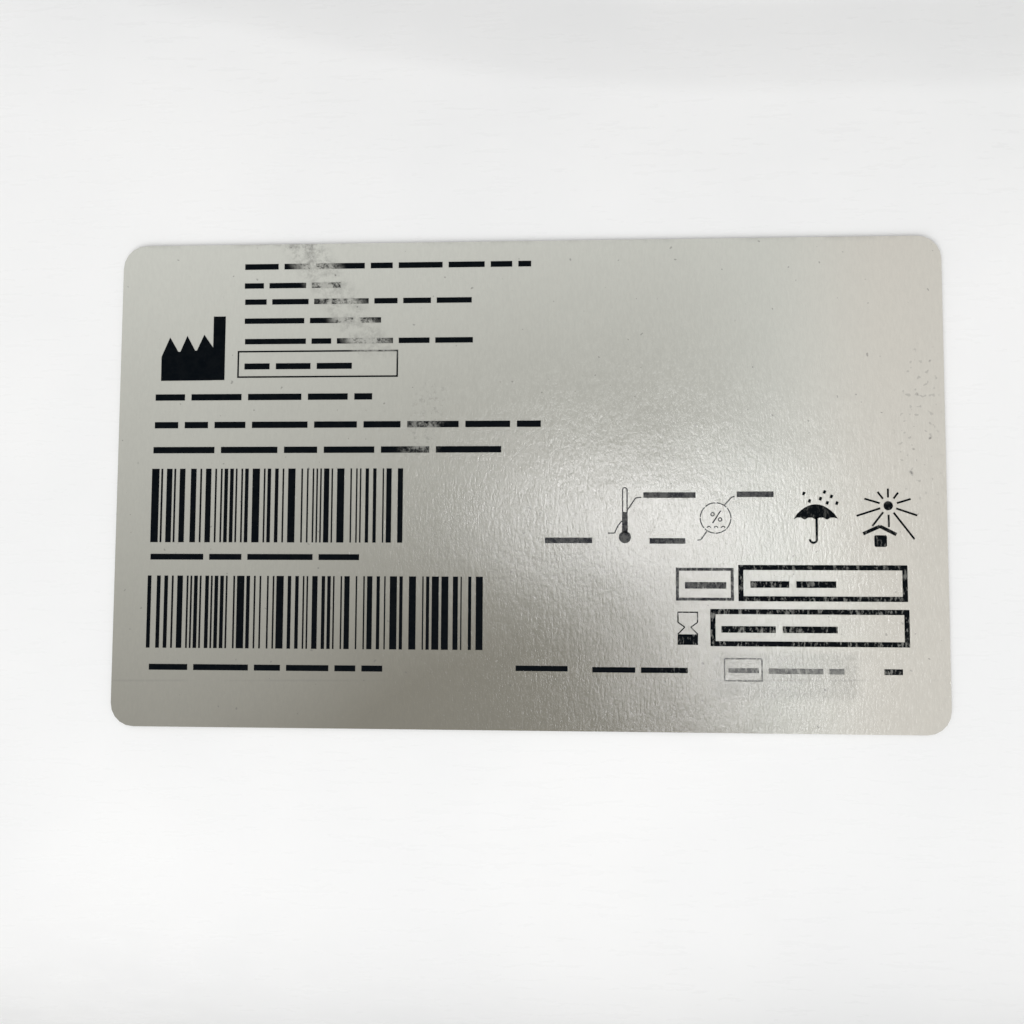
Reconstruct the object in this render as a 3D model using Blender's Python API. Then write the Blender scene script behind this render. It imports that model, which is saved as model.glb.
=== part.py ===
"""Powered circular stapler, 23 mm, lying on its side in its packing tray beside the pack label.

Units are metres, +Z is up, and the origin is the middle of the tray's underside. The instrument has a frame of its
own: its origin is where the shaft leaves the handle, +X runs back along the handle to the adjusting knob, +Y is the
side away from the trigger, and Z = 0 is the joint between the two casing halves. The stapling head has another frame,
whose +X runs out of the end of the curved shaft towards the anvil. The grip has a third, whose +Y runs up the grip.
"""

import math

import bmesh
import bpy
from mathutils import Matrix

# Fits
SEAT_GAP = 0.0003  # between pieces that rest on or in each other
RUNNING_GAP = 0.0002  # beside a piece that slides or turns

# Curved shaft
SHAFT_RADIUS = 0.006
SHAFT_WALL = 0.001
SHAFT_STRAIGHT = 0.072  # from the casing's nose to where the curve starts
SHAFT_INSIDE = 0.020  # length held inside the casing
BEND_RADIUS = 0.270
BEND_ANGLE = math.radians(30)
DRIVE_TUBE_RADIUS = 0.0045
DRIVE_TUBE_WALL = 0.001
BAND_THICKNESS = 0.0009
BAND_WIDTH = 0.004

# Stapling head, measured along its own axis from the end of the shaft
HEAD_RADIUS = 0.0115
HEAD_WALL = 0.0008
HEAD_LENGTH = 0.044
HEAD_CONE_START = 0.002
HEAD_CONE_LENGTH = 0.011
NECK_LENGTH = 0.010
NECK_WALL = 0.001
DECK_THICKNESS = 0.0022
DECK_SPIGOT = 0.004  # depth of the deck's rim inside the casing
KNIFE_RADIUS = 0.0073
KNIFE_WALL = 0.0004
KNIFE_RECESS = 0.003  # the blade's rest depth under the deck
STAPLES_PER_ROW = 9
STAPLE_ROW_INNER = 0.00835
STAPLE_ROW_OUTER = 0.00965
SLOT_LENGTH = 0.0038
SLOT_WIDTH = 0.0007
DRIVER_FINGER_WIDTH = 0.0033
DRIVER_FINGER_THICKNESS = 0.0004
DRIVER_FINGER_LENGTH = 0.0066
DRIVER_STEM_RADIUS = 0.0044
DRIVER_WEB = 0.003
FIRING_STROKE = 0.006

# Anvil and trocar
OPEN_GAP = 0.022  # anvil face to deck face, fully open
CLOSED_GAP = 0.001
ANVIL_RIM = 0.0027
ANVIL_DOME = 0.0076
ANVIL_RECESS = 0.005
POCKET_LENGTH = 0.0014
POCKET_WIDTH = 0.0007
POCKET_DEPTH = 0.0005
POCKET_SPREAD = 0.00105  # half the distance between a staple's two leg pockets
WASHER_THICKNESS = 0.002
SHANK_RADIUS = 0.0035
SHANK_WALL = 0.00055
SHANK_REACH = 0.024  # from the anvil's face back towards the deck
SHANK_SOCKET = 0.0027  # depth of the shank in the anvil's hub
LEAF_SLOT_WIDTH = 0.0008
LEAF_SLOT_LENGTH = 0.012
TROCAR_RADIUS = 0.0027
TROCAR_POINT = 0.008
TROCAR_TIP_BACK = 0.0065  # the point's distance behind the anvil's face

# Handle casing
CASING_LENGTH = 0.152
CASING_HALF_WIDTH = 0.019
CASING_EDGE_RADIUS = 0.011
CASING_WALL = 0.002
NOSE_HALF_HEIGHT = 0.014
GRIP_X = 0.0935  # where the grip's centreline crosses the shaft's axis
GRIP_LENGTH = 0.1093  # along that line to the battery joint
GRIP_LEAN = math.radians(17)
GRIP_HALF_DEPTH = 0.022
GRIP_FRONT_TOP = 0.0836  # height of the grip's front and rear corners above the battery joint
GRIP_REAR_TOP = 0.062
NOSE_COLLAR_RADIUS = 0.0105
NOSE_COLLAR_LENGTH = 0.007
NOSE_BORE_LENGTH = 0.010
SCREW_TO_REAR = 0.016  # from the rear screws to the casing's rear end
SCREW_SPOTS = (
    (0.018, -0.013),
    (0.026, 0.014),
    (CASING_LENGTH - SCREW_TO_REAR, 0.015),
    (CASING_LENGTH - SCREW_TO_REAR, -0.021),
)
SCREW_HEAD_RADIUS = 0.0026
SCREW_HEAD_HEIGHT = 0.0018
SCREW_SEAT_Z = 0.011
SCREW_RADIUS = 0.0013
SCREW_LENGTH = 0.020
BOSS_RADIUS = 0.0042

# Gap window on top of the casing
WINDOW_X = 0.095
WINDOW_LENGTH = 0.034
WINDOW_WIDTH = 0.009
WINDOW_THICKNESS = 0.001
SCALE_THICKNESS = 0.001
INDICATOR_THICKNESS = 0.0005
INDICATOR_LENGTH = 0.010

# Closing drive
KNOB_RADIUS = 0.0215
KNOB_LENGTH = 0.047
KNOB_FLUTES = 9
KNOB_FLUTE_DEPTH = 0.0013
KNOB_NECK_RADIUS = 0.0085
KNOB_FLANGE_RADIUS = 0.0105
KNOB_FLANGE_LENGTH = 0.004
KNOB_BEARING_LENGTH = 0.0055
LEAD_NUT_RADIUS = 0.0055
LEAD_NUT_LENGTH = 0.019
SCREW_ROD_RADIUS = 0.003
PULL_ROD_RADIUS = 0.0025
PULL_ROD_FRONT = 0.014
SCREW_ROD_LENGTH = 0.059
SCREW_ROD_REACH = 0.019  # how far the thread reaches behind the casing when the gap is closed least

# Firing drive
MOTOR_Y = -0.0155
MOTOR_RADIUS = 0.0085
MOTOR_LENGTH = 0.034
MOTOR_TO_REAR = 0.0197  # from the motor's rear end to the casing's, which leaves room for the screw boss
GEARBOX_LENGTH = 0.020
MOTOR_MOUNT_LENGTH = 0.012
CAM_RADIUS = 0.008
CAM_LENGTH = 0.014
CAM_SHAFT_RADIUS = 0.0025
CAM_TRACK_RADIUS = 0.006
ROLLER_RADIUS = 0.002
ROLLER_WIDTH = 0.003
BRACKET_FRONT = 0.0303
BRACKET_LENGTH = 0.014
BRACKET_HALF = 0.007
BRACKET_ARM = 0.004
DRIVE_TUBE_REAR = 0.030

# Trigger and safety catch
TRIGGER_PIVOT = (0.038, -0.0175)
TRIGGER_HALF_WIDTH = 0.007
TRIGGER_EDGE_RADIUS = 0.003
TRIGGER_LENGTH = 0.084
TRIGGER_PADDLE = 0.008  # height of the paddle above the pivot
TRIGGER_PADDLE_HALF = 0.0028
TRIGGER_BOSS = 0.0068  # half depth round the pivot
TRIGGER_SWEEP = 0.0095  # of the finger face behind the pivot, at the middle finger
TRIGGER_DEPTH = 0.0115
TRIGGER_TOE = 0.0155  # of the blade's end behind the pivot
TRIGGER_CURVE = 0.070
TRIGGER_TIP_RADIUS = 0.0035
PIN_RADIUS = 0.002
SAFETY_PIVOT = (0.057, -0.0225)
SAFETY_HALF_WIDTH = 0.0045
SAFETY_EDGE_RADIUS = 0.0012
SAFETY_PIN_RADIUS = 0.0015
SLOT_SIDE_GAP = 0.0008
SLOT_TOP = -0.0125
SLOT_BOTTOM = -0.060  # below the casing, where the trigger's slot is open
SLOT_TO_TRIGGER = 0.0105  # from the slot's front end to the trigger's pin
SLOT_PAST_SAFETY = 0.021  # from the safety catch's pin to the slot's rear end
PIN_HALF_LENGTH = 0.0135

# Electrics
BOARD_Z = 0.009
BOARD_THICKNESS = 0.0012
BOARD_LENGTH = 0.044
BOARD_HEIGHT = 0.012
BOARD_X = 0.056
BOARD_Y = 0.0065
LIGHT_RADIUS = 0.0016
LIGHT_SPACING = 0.009
LIGHT_STAND_OUT = 0.0005
SWITCH_LENGTH = 0.0095
SWITCH_HEIGHT = 0.009
SWITCH_HALF_WIDTH = 0.004

# Battery pack
CELL_RADIUS = 0.0085
CELL_LENGTH = 0.0345
CELL_GAP = 0.0005
PACK_WALL = 0.0013
PACK_BASE = 0.014  # depth of the base that closes the grip
PACK_FLOOR = 0.005
PACK_INSERT = 0.066
LATCH_HALF_WIDTH = 0.005
LATCH_HEIGHT = 0.006
LATCH_STAND_OUT = 0.0015
LATCH_DEPTH = 0.004
LATCH_TRAVEL = 0.0015
LATCH_UP = 0.0048  # from the base's underside to the latch's middle
CONTACT_THICKNESS = 0.004

# Packing tray, foam and label
TRAY_THICKNESS = 0.001
TRAY_DEPTH = 0.016
TRAY_DRAFT = 0.003
TRAY_FLANGE = 0.009
TRAY_LIP = 0.003
TRAY_STEP_HEIGHT = 0.009  # of the small ledge in the wall
TRAY_STEP = 0.002
TRAY_CORNER = 0.022
TRAY_MARGIN = 0.014
TRAY_FRONT_MARGIN = 0.016  # finger room below the grip
AXIS_HEIGHT = 0.0365  # of the instrument's mid-plane above the table
FOAM_SHOULDER = 0.005
FOAM_HEAD_LENGTH = 0.018
FOAM_HEAD_HALF = 0.021
FOAM_HEAD_TO_DECK = 0.0115  # from the block to the staple deck's face
FOAM_SHAFT_LENGTH = 0.016
FOAM_SHAFT_HALF = 0.016
FOAM_SHAFT_TO_NOSE = 0.014
FOAM_BARREL_LENGTH = 0.052
FOAM_BARREL_TO_REAR = 0.014
FOAM_BARREL_LOW = 0.014
FOAM_BARREL_HIGH = 0.010
FOAM_GRIP_HALF = 0.010
FOAM_GRIP_START = 0.010  # above the battery joint
FOAM_GRIP_LENGTH = 0.038
LABEL_LENGTH = 0.113
LABEL_WIDTH = 0.067
LABEL_CORNER = 0.0032
LABEL_THICKNESS = 0.00025
LABEL_TO_NOSE = 0.053  # from the label's right edge to the casing's nose
LABEL_TO_SHAFT = 0.022  # from the shaft to the label's top edge

# Places that follow from the sizes above
BEND_LENGTH = BEND_RADIUS * BEND_ANGLE
SHAFT_LENGTH = SHAFT_STRAIGHT + BEND_LENGTH
SHAFT_BORE = SHAFT_RADIUS - SHAFT_WALL
HEAD_CHAMBER = HEAD_RADIUS - HEAD_WALL
DECK_BACK = HEAD_LENGTH + SEAT_GAP
DECK_FACE = DECK_BACK + DECK_THICKNESS
DECK_BORE = KNIFE_RADIUS + RUNNING_GAP
SPIGOT_BACK = HEAD_LENGTH - DECK_SPIGOT
FINGER_TIP = SPIGOT_BACK + RUNNING_GAP
DRIVER_FRONT = FINGER_TIP - DRIVER_FINGER_LENGTH
DRIVER_REAR = HEAD_CONE_START + HEAD_CONE_LENGTH
DRIVER_REST_REAR = -FIRING_STROKE
KNIFE_SEAT = DRIVER_REAR + DRIVER_WEB + SEAT_GAP
KNIFE_EDGE = DECK_FACE - KNIFE_RECESS
CLOSING_STROKE = OPEN_GAP - CLOSED_GAP
ANVIL_FACE = DECK_FACE + OPEN_GAP
ANVIL_FLOOR = ANVIL_FACE + ANVIL_RECESS
ANVIL_HUB_BORE = SHANK_RADIUS + SEAT_GAP
HEAD_REACH = ANVIL_FACE + ANVIL_RIM + ANVIL_DOME
SHANK_BACK = ANVIL_FACE - SHANK_REACH
TROCAR_BORE = TROCAR_RADIUS + 2 * RUNNING_GAP
TROCAR_TIP = ANVIL_FACE - TROCAR_TIP_BACK
TROCAR_BACK = HEAD_CONE_START + RUNNING_GAP
KNOB_BEARING_FRONT = CASING_LENGTH - KNOB_BEARING_LENGTH
SCREW_ROD_END = CASING_LENGTH + SCREW_ROD_REACH
SCREW_ROD_START = SCREW_ROD_END - SCREW_ROD_LENGTH
KNOB_FRONT = CASING_LENGTH + 2 * SEAT_GAP
KNOB_END = KNOB_FRONT + KNOB_LENGTH
GEARBOX_FRONT = CASING_LENGTH - MOTOR_TO_REAR - MOTOR_LENGTH - SEAT_GAP - GEARBOX_LENGTH
CAM_FRONT = GEARBOX_FRONT - SEAT_GAP - CAM_LENGTH
GRIP_HALF_WIDTH = CASING_HALF_WIDTH
PACK_HALF_DEPTH = 2 * CELL_RADIUS + CELL_GAP + PACK_WALL + 0.5 * CELL_GAP
PACK_HALF_WIDTH = CELL_RADIUS + PACK_WALL + CELL_GAP
CONTACT_Y = PACK_INSERT + SEAT_GAP

MATERIALS = {
    "casing_plastic": ((0.80, 0.81, 0.81), 0.42, 0.0),
    "dark_plastic": ((0.10, 0.11, 0.12), 0.5, 0.0),
    "trigger_plastic": ((0.16, 0.36, 0.52), 0.42, 0.0),
    "safety_plastic": ((0.72, 0.07, 0.05), 0.4, 0.0),
    "knob_plastic": ((0.22, 0.24, 0.26), 0.5, 0.0),
    "shaft_plastic": ((0.55, 0.57, 0.58), 0.38, 0.0),
    "white_plastic": ((0.86, 0.87, 0.86), 0.45, 0.0),
    "inner_plastic": ((0.62, 0.64, 0.66), 0.5, 0.0),
    "clear_plastic": ((0.80, 0.86, 0.88), 0.1, 0.0),
    "steel": ((0.66, 0.67, 0.68), 0.28, 1.0),
    "brass": ((0.72, 0.55, 0.25), 0.35, 1.0),
    "cell_wrap": ((0.10, 0.22, 0.16), 0.4, 0.0),
    "board": ((0.05, 0.24, 0.12), 0.5, 0.0),
    "tray_plastic": ((0.90, 0.90, 0.90), 0.4, 0.0),
    "foam": ((0.88, 0.88, 0.87), 0.9, 0.0),
    "label_film": ((0.60, 0.61, 0.57), 0.4, 0.0),
}

ARC_STEPS = 4
ROUND_STEPS = 24
SMALL_STEPS = 14


def clear_scene():
    for old in list(bpy.data.objects):
        bpy.data.objects.remove(old, do_unlink=True)


def material(name):
    found = bpy.data.materials.get(name)
    if found:
        return found
    colour, roughness, metallic = MATERIALS[name]
    made = bpy.data.materials.new(name)
    made.use_nodes = True
    shader = made.node_tree.nodes["Principled BSDF"]
    shader.inputs["Base Color"].default_value = (*colour, 1.0)
    shader.inputs["Roughness"].default_value = roughness
    shader.inputs["Metallic"].default_value = metallic
    return made


def frame(name, place, turn=0.0, parent=None):
    """An empty that carries the pieces built in its axes."""
    empty = bpy.data.objects.new(name, None)
    bpy.context.scene.collection.objects.link(empty)
    empty.location = place
    empty.rotation_euler = (0, 0, turn)
    empty.parent = parent
    return empty


def link(name, bm, parent, place=(0, 0, 0)):
    bmesh.ops.remove_doubles(bm, verts=bm.verts, dist=1e-7)
    bmesh.ops.recalc_face_normals(bm, faces=bm.faces)
    mesh = bpy.data.meshes.new(name)
    bm.to_mesh(mesh)
    bm.free()
    mesh.shade_smooth()
    mesh.set_sharp_from_angle(angle=math.radians(32))
    made = bpy.data.objects.new(name, mesh)
    bpy.context.scene.collection.objects.link(made)
    made.location = place
    made.parent = parent
    return made


def piece(name, finish, bm, parent, place=(0, 0, 0)):
    made = link(name, bm, parent, place)
    made.data.materials.append(material(finish))
    return made


def combine(target, bm, operation, label, parent=None, place=None):
    """Adds a Boolean with a hidden helper, which stands in the target's own frame unless another is given."""
    helper = link(
        f"{target.name}.{label}",
        bm,
        parent or target.parent,
        target.location if place is None else place,
    )
    helper.hide_render = True
    helper.display_type = "WIRE"
    boolean = target.modifiers.new(label, "BOOLEAN")
    boolean.operation = operation
    boolean.object = helper


def cut(target, bm, label, parent=None, place=None):
    combine(target, bm, "DIFFERENCE", label, parent, place)


def fuse(target, bm, label, parent=None, place=None):
    combine(target, bm, "UNION", label, parent, place)


def loft(loops, ring=False):
    """Skins loops of equal length. The ends are capped, or joined to each other in a ring."""
    bm = bmesh.new()
    rows = [[bm.verts.new(point) for point in loop] for loop in loops]
    pairs = list(zip(rows, rows[1:]))
    if ring:
        pairs.append((rows[-1], rows[0]))
    for low, high in pairs:
        count = len(low)
        for i in range(count):
            j = (i + 1) % count
            bm.faces.new((low[i], low[j], high[j], high[i]))
    if not ring:
        bm.faces.new(reversed(rows[0]))
        bm.faces.new(rows[-1])
    return bm


def turned(profile, steps=ROUND_STEPS, hollow=False, flute=None):
    """Turns a profile of (x, radius) points about X. A hollow profile closes on itself, and others end on the axis."""
    bm = bmesh.new()
    rows = []
    for i in range(steps):
        angle = 2 * math.pi * i / steps
        row = []
        for x, radius in profile:
            reach = radius - flute(x, radius, angle) if flute else radius
            row.append(bm.verts.new((x, reach * math.cos(angle), reach * math.sin(angle))))
        rows.append(row)
    last = len(profile) if hollow else len(profile) - 1
    for i in range(steps):
        here, there = rows[i], rows[(i + 1) % steps]
        for k in range(last):
            n = (k + 1) % len(profile)
            corners = [here[k], here[n], there[n], there[k]]
            if profile[k][1] == 0:
                corners.remove(there[k])
            if profile[n][1] == 0:
                corners.remove(there[n])
            bm.faces.new(corners)
    return bm


def rod(start, end, radius, steps=SMALL_STEPS):
    return turned([(start, 0), (start, radius), (end, radius), (end, 0)], steps)


def sleeve(start, end, bore, radius, steps=ROUND_STEPS):
    return turned([(start, bore), (start, radius), (end, radius), (end, bore)], steps, hollow=True)


def upright(bm, x, y):
    """Stands a piece turned about X up along Z, at (x, y)."""
    bm.transform(Matrix.Translation((x, y, 0)) @ Matrix.Rotation(-math.pi / 2, 4, "Y"))
    return bm


def block(low, high):
    bm = bmesh.new()
    bmesh.ops.create_cube(bm, size=1)
    for vert in bm.verts:
        vert.co = [a + (b - a) * (c + 0.5) for a, b, c in zip(low, high, vert.co)]
    return bm


def merged(parts):
    """One mesh from several, which don't touch."""
    whole = bmesh.new()
    for bm in parts:
        scrap = bpy.data.meshes.new("scrap")
        bm.to_mesh(scrap)
        bm.free()
        whole.from_mesh(scrap)
        bpy.data.meshes.remove(scrap)
    return whole


def outline(corners, inset=0.0, steps=ARC_STEPS):
    """Points round a closed shape, given as anticlockwise (x, y, fillet radius) corners and moved inwards by inset."""
    points = []
    for i, (x, y, fillet) in enumerate(corners):
        before = corners[i - 1]
        after = corners[(i + 1) % len(corners)]
        way_in = math.atan2(y - before[1], x - before[0])
        way_out = math.atan2(after[1] - y, after[0] - x)
        turn = math.remainder(way_out - way_in, 2 * math.pi)
        middle = way_in + turn / 2
        shift = inset / math.cos(turn / 2)
        corner_x = x - shift * math.sin(middle)
        corner_y = y + shift * math.cos(middle)
        side = 1 if turn > 0 else -1
        radius = max(fillet - side * inset, 0.0002)
        reach = radius / math.cos(turn / 2)
        centre_x = corner_x - side * reach * math.sin(middle)
        centre_y = corner_y + side * reach * math.cos(middle)
        for k in range(steps + 1):
            angle = way_in + turn * k / steps
            points.append(
                (centre_x + side * radius * math.sin(angle), centre_y - side * radius * math.cos(angle))
            )
    return points


def at_height(points, z):
    return [(x, y, z) for x, y in points]


def slab(corners, low, high, steps=ARC_STEPS):
    return loft([at_height(outline(corners, 0, steps), z) for z in (low, high)])


def pillow(corners, half_width, edge, steps=ARC_STEPS, edge_steps=3):
    """A solid with that outline at its mid-plane, and both sides rounded off."""
    layers = [(edge * (1 - math.cos(a)), half_width - edge + edge * math.sin(a)) for a in quarter(edge_steps)]
    loops = [at_height(outline(corners, inset, steps), -z) for inset, z in reversed(layers)]
    loops += [at_height(outline(corners, inset, steps), z) for inset, z in layers]
    return loft(loops)


def quarter(steps):
    return [math.pi / 2 * k / steps for k in range(steps + 1)]


def rectangle(low, high, fillet):
    return [
        (low[0], low[1], fillet),
        (high[0], low[1], fillet),
        (high[0], high[1], fillet),
        (low[0], high[1], fillet),
    ]


def shaft_point(run):
    """Centre of the shaft and its heading, that far from the casing's nose towards the head."""
    if run <= SHAFT_STRAIGHT:
        return -run, 0.0, math.pi
    swept = (run - SHAFT_STRAIGHT) / BEND_RADIUS
    return (
        -SHAFT_STRAIGHT - BEND_RADIUS * math.sin(swept),
        BEND_RADIUS * (1 - math.cos(swept)),
        math.pi - swept,
    )


def swept_loops(section, start, end, steps):
    """Copies of a cross-section, as (across, up) points, along the shaft."""
    runs = [start] + [
        SHAFT_STRAIGHT + (end - SHAFT_STRAIGHT) * k / steps for k in range(steps + 1)
    ]
    loops = []
    for run in runs:
        x, y, heading = shaft_point(run)
        across_x, across_y = -math.sin(heading), math.cos(heading)
        loops.append([(x + a * across_x, y + a * across_y, b) for a, b in section])
    return loops


def round_section(radius, steps):
    return [
        (radius * math.cos(2 * math.pi * k / steps), radius * math.sin(2 * math.pi * k / steps))
        for k in range(steps)
    ]


def swept_tube(radius, bore, start, end, sides, steps):
    outside = swept_loops(round_section(radius, sides), start, end, steps)
    inside = swept_loops(round_section(bore, sides), start, end, steps)
    return loft(outside + inside[::-1], ring=True)


def grip_point(x, y):
    """A point of the grip's frame in the instrument's frame."""
    joint_x = GRIP_X + GRIP_LENGTH * math.sin(GRIP_LEAN)
    joint_y = -GRIP_LENGTH * math.cos(GRIP_LEAN)
    return (
        joint_x + x * math.cos(GRIP_LEAN) - y * math.sin(GRIP_LEAN),
        joint_y + x * math.sin(GRIP_LEAN) + y * math.cos(GRIP_LEAN),
    )


def casing_corners():
    """Side view of the handle, down the nose, along the underside, round the grip and back over the top."""
    return [
        (0, NOSE_HALF_HEIGHT, 0.003),
        (0, -NOSE_HALF_HEIGHT, 0.003),
        (0.030, -0.024, 0.030),
        (*grip_point(-GRIP_HALF_DEPTH, GRIP_FRONT_TOP), 0.012),
        (*grip_point(-GRIP_HALF_DEPTH, -PACK_BASE), 0.006),
        (*grip_point(GRIP_HALF_DEPTH, -PACK_BASE), 0.006),
        (*grip_point(GRIP_HALF_DEPTH, GRIP_REAR_TOP), 0.010),
        (CASING_LENGTH, -0.031, 0.007),
        (CASING_LENGTH, 0.021, 0.006),
        (0.062, 0.0265, 0.080),
        (0.026, 0.0215, 0.040),
    ]


def window_place():
    """Middle of the gap window on the casing's top line, and that line's slope."""
    rear_x, rear_y, _ = casing_corners()[8]
    front_x, front_y, _ = casing_corners()[9]
    slope = (rear_y - front_y) / (rear_x - front_x)
    return (WINDOW_X, front_y + (WINDOW_X - front_x) * slope, 0), math.atan(slope)


def staple_seats():
    """Angle and radius of each staple, in two staggered rows."""
    pitch = 2 * math.pi / STAPLES_PER_ROW
    for k in range(STAPLES_PER_ROW):
        yield k * pitch, STAPLE_ROW_OUTER
        yield (k + 0.5) * pitch, STAPLE_ROW_INNER


def ring_of_blocks(start, end, length, width, offsets=(0.0,)):
    """A block at each staple seat, long side along the row, from start to end along the head's axis."""
    parts = []
    for angle, radius in staple_seats():
        for offset in offsets:
            bm = block(
                (start, radius - width / 2, offset - length / 2),
                (end, radius + width / 2, offset + length / 2),
            )
            bm.transform(Matrix.Rotation(angle, 4, "X"))
            parts.append(bm)
    return merged(parts)


def build_shaft(instrument, head):
    piece(
        "shaft_tube",
        "shaft_plastic",
        swept_tube(SHAFT_RADIUS, SHAFT_BORE, -SHAFT_INSIDE, SHAFT_LENGTH, 16, 12),
        instrument,
    )
    drive_bore = DRIVE_TUBE_RADIUS - DRIVE_TUBE_WALL
    drive_end = SHAFT_LENGTH + DRIVER_REST_REAR - SEAT_GAP
    piece(
        "drive_tube",
        "inner_plastic",
        swept_tube(DRIVE_TUBE_RADIUS, drive_bore, -DRIVE_TUBE_REAR, drive_end, 10, 10),
        instrument,
    )
    across, up = BAND_THICKNESS / 2, BAND_WIDTH / 2
    band = [(-across, -up), (across, -up), (across, up), (-across, up)]
    band_end = SHAFT_LENGTH - SEAT_GAP
    piece(
        "pull_band",
        "steel",
        loft(swept_loops(band, SEAT_GAP - PULL_ROD_FRONT, band_end, 10)),
        instrument,
    )
    piece(
        "band_coupling",
        "steel",
        rod(2 * SEAT_GAP, TROCAR_BACK - SEAT_GAP, PULL_ROD_RADIUS),
        head,
    )
    collar_bore = SHAFT_RADIUS + SEAT_GAP
    piece(
        "nose_collar",
        "dark_plastic",
        turned(
            [
                (-SEAT_GAP, collar_bore),
                (-SEAT_GAP, NOSE_COLLAR_RADIUS),
                (-NOSE_COLLAR_LENGTH * 0.55, NOSE_COLLAR_RADIUS - 0.0006),
                (-NOSE_COLLAR_LENGTH, SHAFT_RADIUS + 0.0016),
                (-NOSE_COLLAR_LENGTH, collar_bore),
            ],
            hollow=True,
        ),
        instrument,
    )


def build_head(head):
    neck_bore = SHAFT_RADIUS + SEAT_GAP
    stem_bore = DRIVER_STEM_RADIUS + SEAT_GAP
    cone_end = HEAD_CONE_START + HEAD_CONE_LENGTH
    piece(
        "head_casing",
        "white_plastic",
        turned(
            [
                (-NECK_LENGTH, neck_bore),
                (-NECK_LENGTH, neck_bore + NECK_WALL),
                (HEAD_CONE_START, neck_bore + NECK_WALL),
                (HEAD_CONE_START + 0.6 * HEAD_CONE_LENGTH, HEAD_RADIUS - 0.0012),
                (cone_end, HEAD_RADIUS),
                (HEAD_LENGTH, HEAD_RADIUS),
                (HEAD_LENGTH, HEAD_CHAMBER),
                (cone_end - SEAT_GAP, HEAD_CHAMBER),
                (HEAD_CONE_START + 0.002, stem_bore),
                (SEAT_GAP, stem_bore),
                (SEAT_GAP, neck_bore),
            ],
            hollow=True,
        ),
        head,
    )
    deck = piece(
        "staple_deck",
        "trigger_plastic",
        turned(
            [
                (SPIGOT_BACK, DECK_BORE),
                (SPIGOT_BACK, HEAD_CHAMBER - SEAT_GAP),
                (DECK_BACK, HEAD_CHAMBER - SEAT_GAP),
                (DECK_BACK, HEAD_RADIUS),
                (DECK_FACE - 0.0004, HEAD_RADIUS),
                (DECK_FACE, HEAD_RADIUS - 0.0004),
                (DECK_FACE, DECK_BORE),
            ],
            hollow=True,
        ),
        head,
    )
    cut(
        deck,
        ring_of_blocks(SPIGOT_BACK - 0.001, DECK_FACE + 0.001, SLOT_LENGTH, SLOT_WIDTH),
        "staple_slots",
    )
    driver = piece(
        "staple_driver",
        "inner_plastic",
        turned(
            [
                (DRIVER_REST_REAR, TROCAR_BORE),
                (DRIVER_REST_REAR, DRIVER_STEM_RADIUS),
                (DRIVER_REAR, DRIVER_STEM_RADIUS),
                (DRIVER_REAR, HEAD_CHAMBER - 2 * RUNNING_GAP),
                (DRIVER_FRONT, HEAD_CHAMBER - 2 * RUNNING_GAP),
                (DRIVER_FRONT, KNIFE_RADIUS + 2 * RUNNING_GAP),
                (DRIVER_REAR + DRIVER_WEB, KNIFE_RADIUS + 2 * RUNNING_GAP),
                (DRIVER_REAR + DRIVER_WEB, TROCAR_BORE),
            ],
            hollow=True,
        ),
        head,
    )
    fuse(
        driver,
        ring_of_blocks(DRIVER_FRONT - 0.001, FINGER_TIP, DRIVER_FINGER_WIDTH, DRIVER_FINGER_THICKNESS),
        "fingers",
    )
    piece(
        "circular_knife",
        "steel",
        turned(
            [
                (KNIFE_SEAT, KNIFE_RADIUS - KNIFE_WALL),
                (KNIFE_SEAT, KNIFE_RADIUS),
                (KNIFE_EDGE - 0.0008, KNIFE_RADIUS),
                (KNIFE_EDGE, KNIFE_RADIUS - 0.8 * KNIFE_WALL),
                (KNIFE_EDGE, KNIFE_RADIUS - KNIFE_WALL),
            ],
            hollow=True,
        ),
        head,
    )
    piece(
        "trocar",
        "steel",
        turned(
            [
                (TROCAR_BACK, 0),
                (TROCAR_BACK, TROCAR_RADIUS),
                (TROCAR_TIP - TROCAR_POINT - 0.006, TROCAR_RADIUS),
                (TROCAR_TIP - TROCAR_POINT - 0.005, TROCAR_RADIUS - 0.0004),
                (TROCAR_TIP - TROCAR_POINT - 0.003, TROCAR_RADIUS - 0.0004),
                (TROCAR_TIP - TROCAR_POINT - 0.002, TROCAR_RADIUS),
                (TROCAR_TIP - TROCAR_POINT, TROCAR_RADIUS),
                (TROCAR_TIP, 0),
            ],
            20,
        ),
        head,
    )


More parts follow.
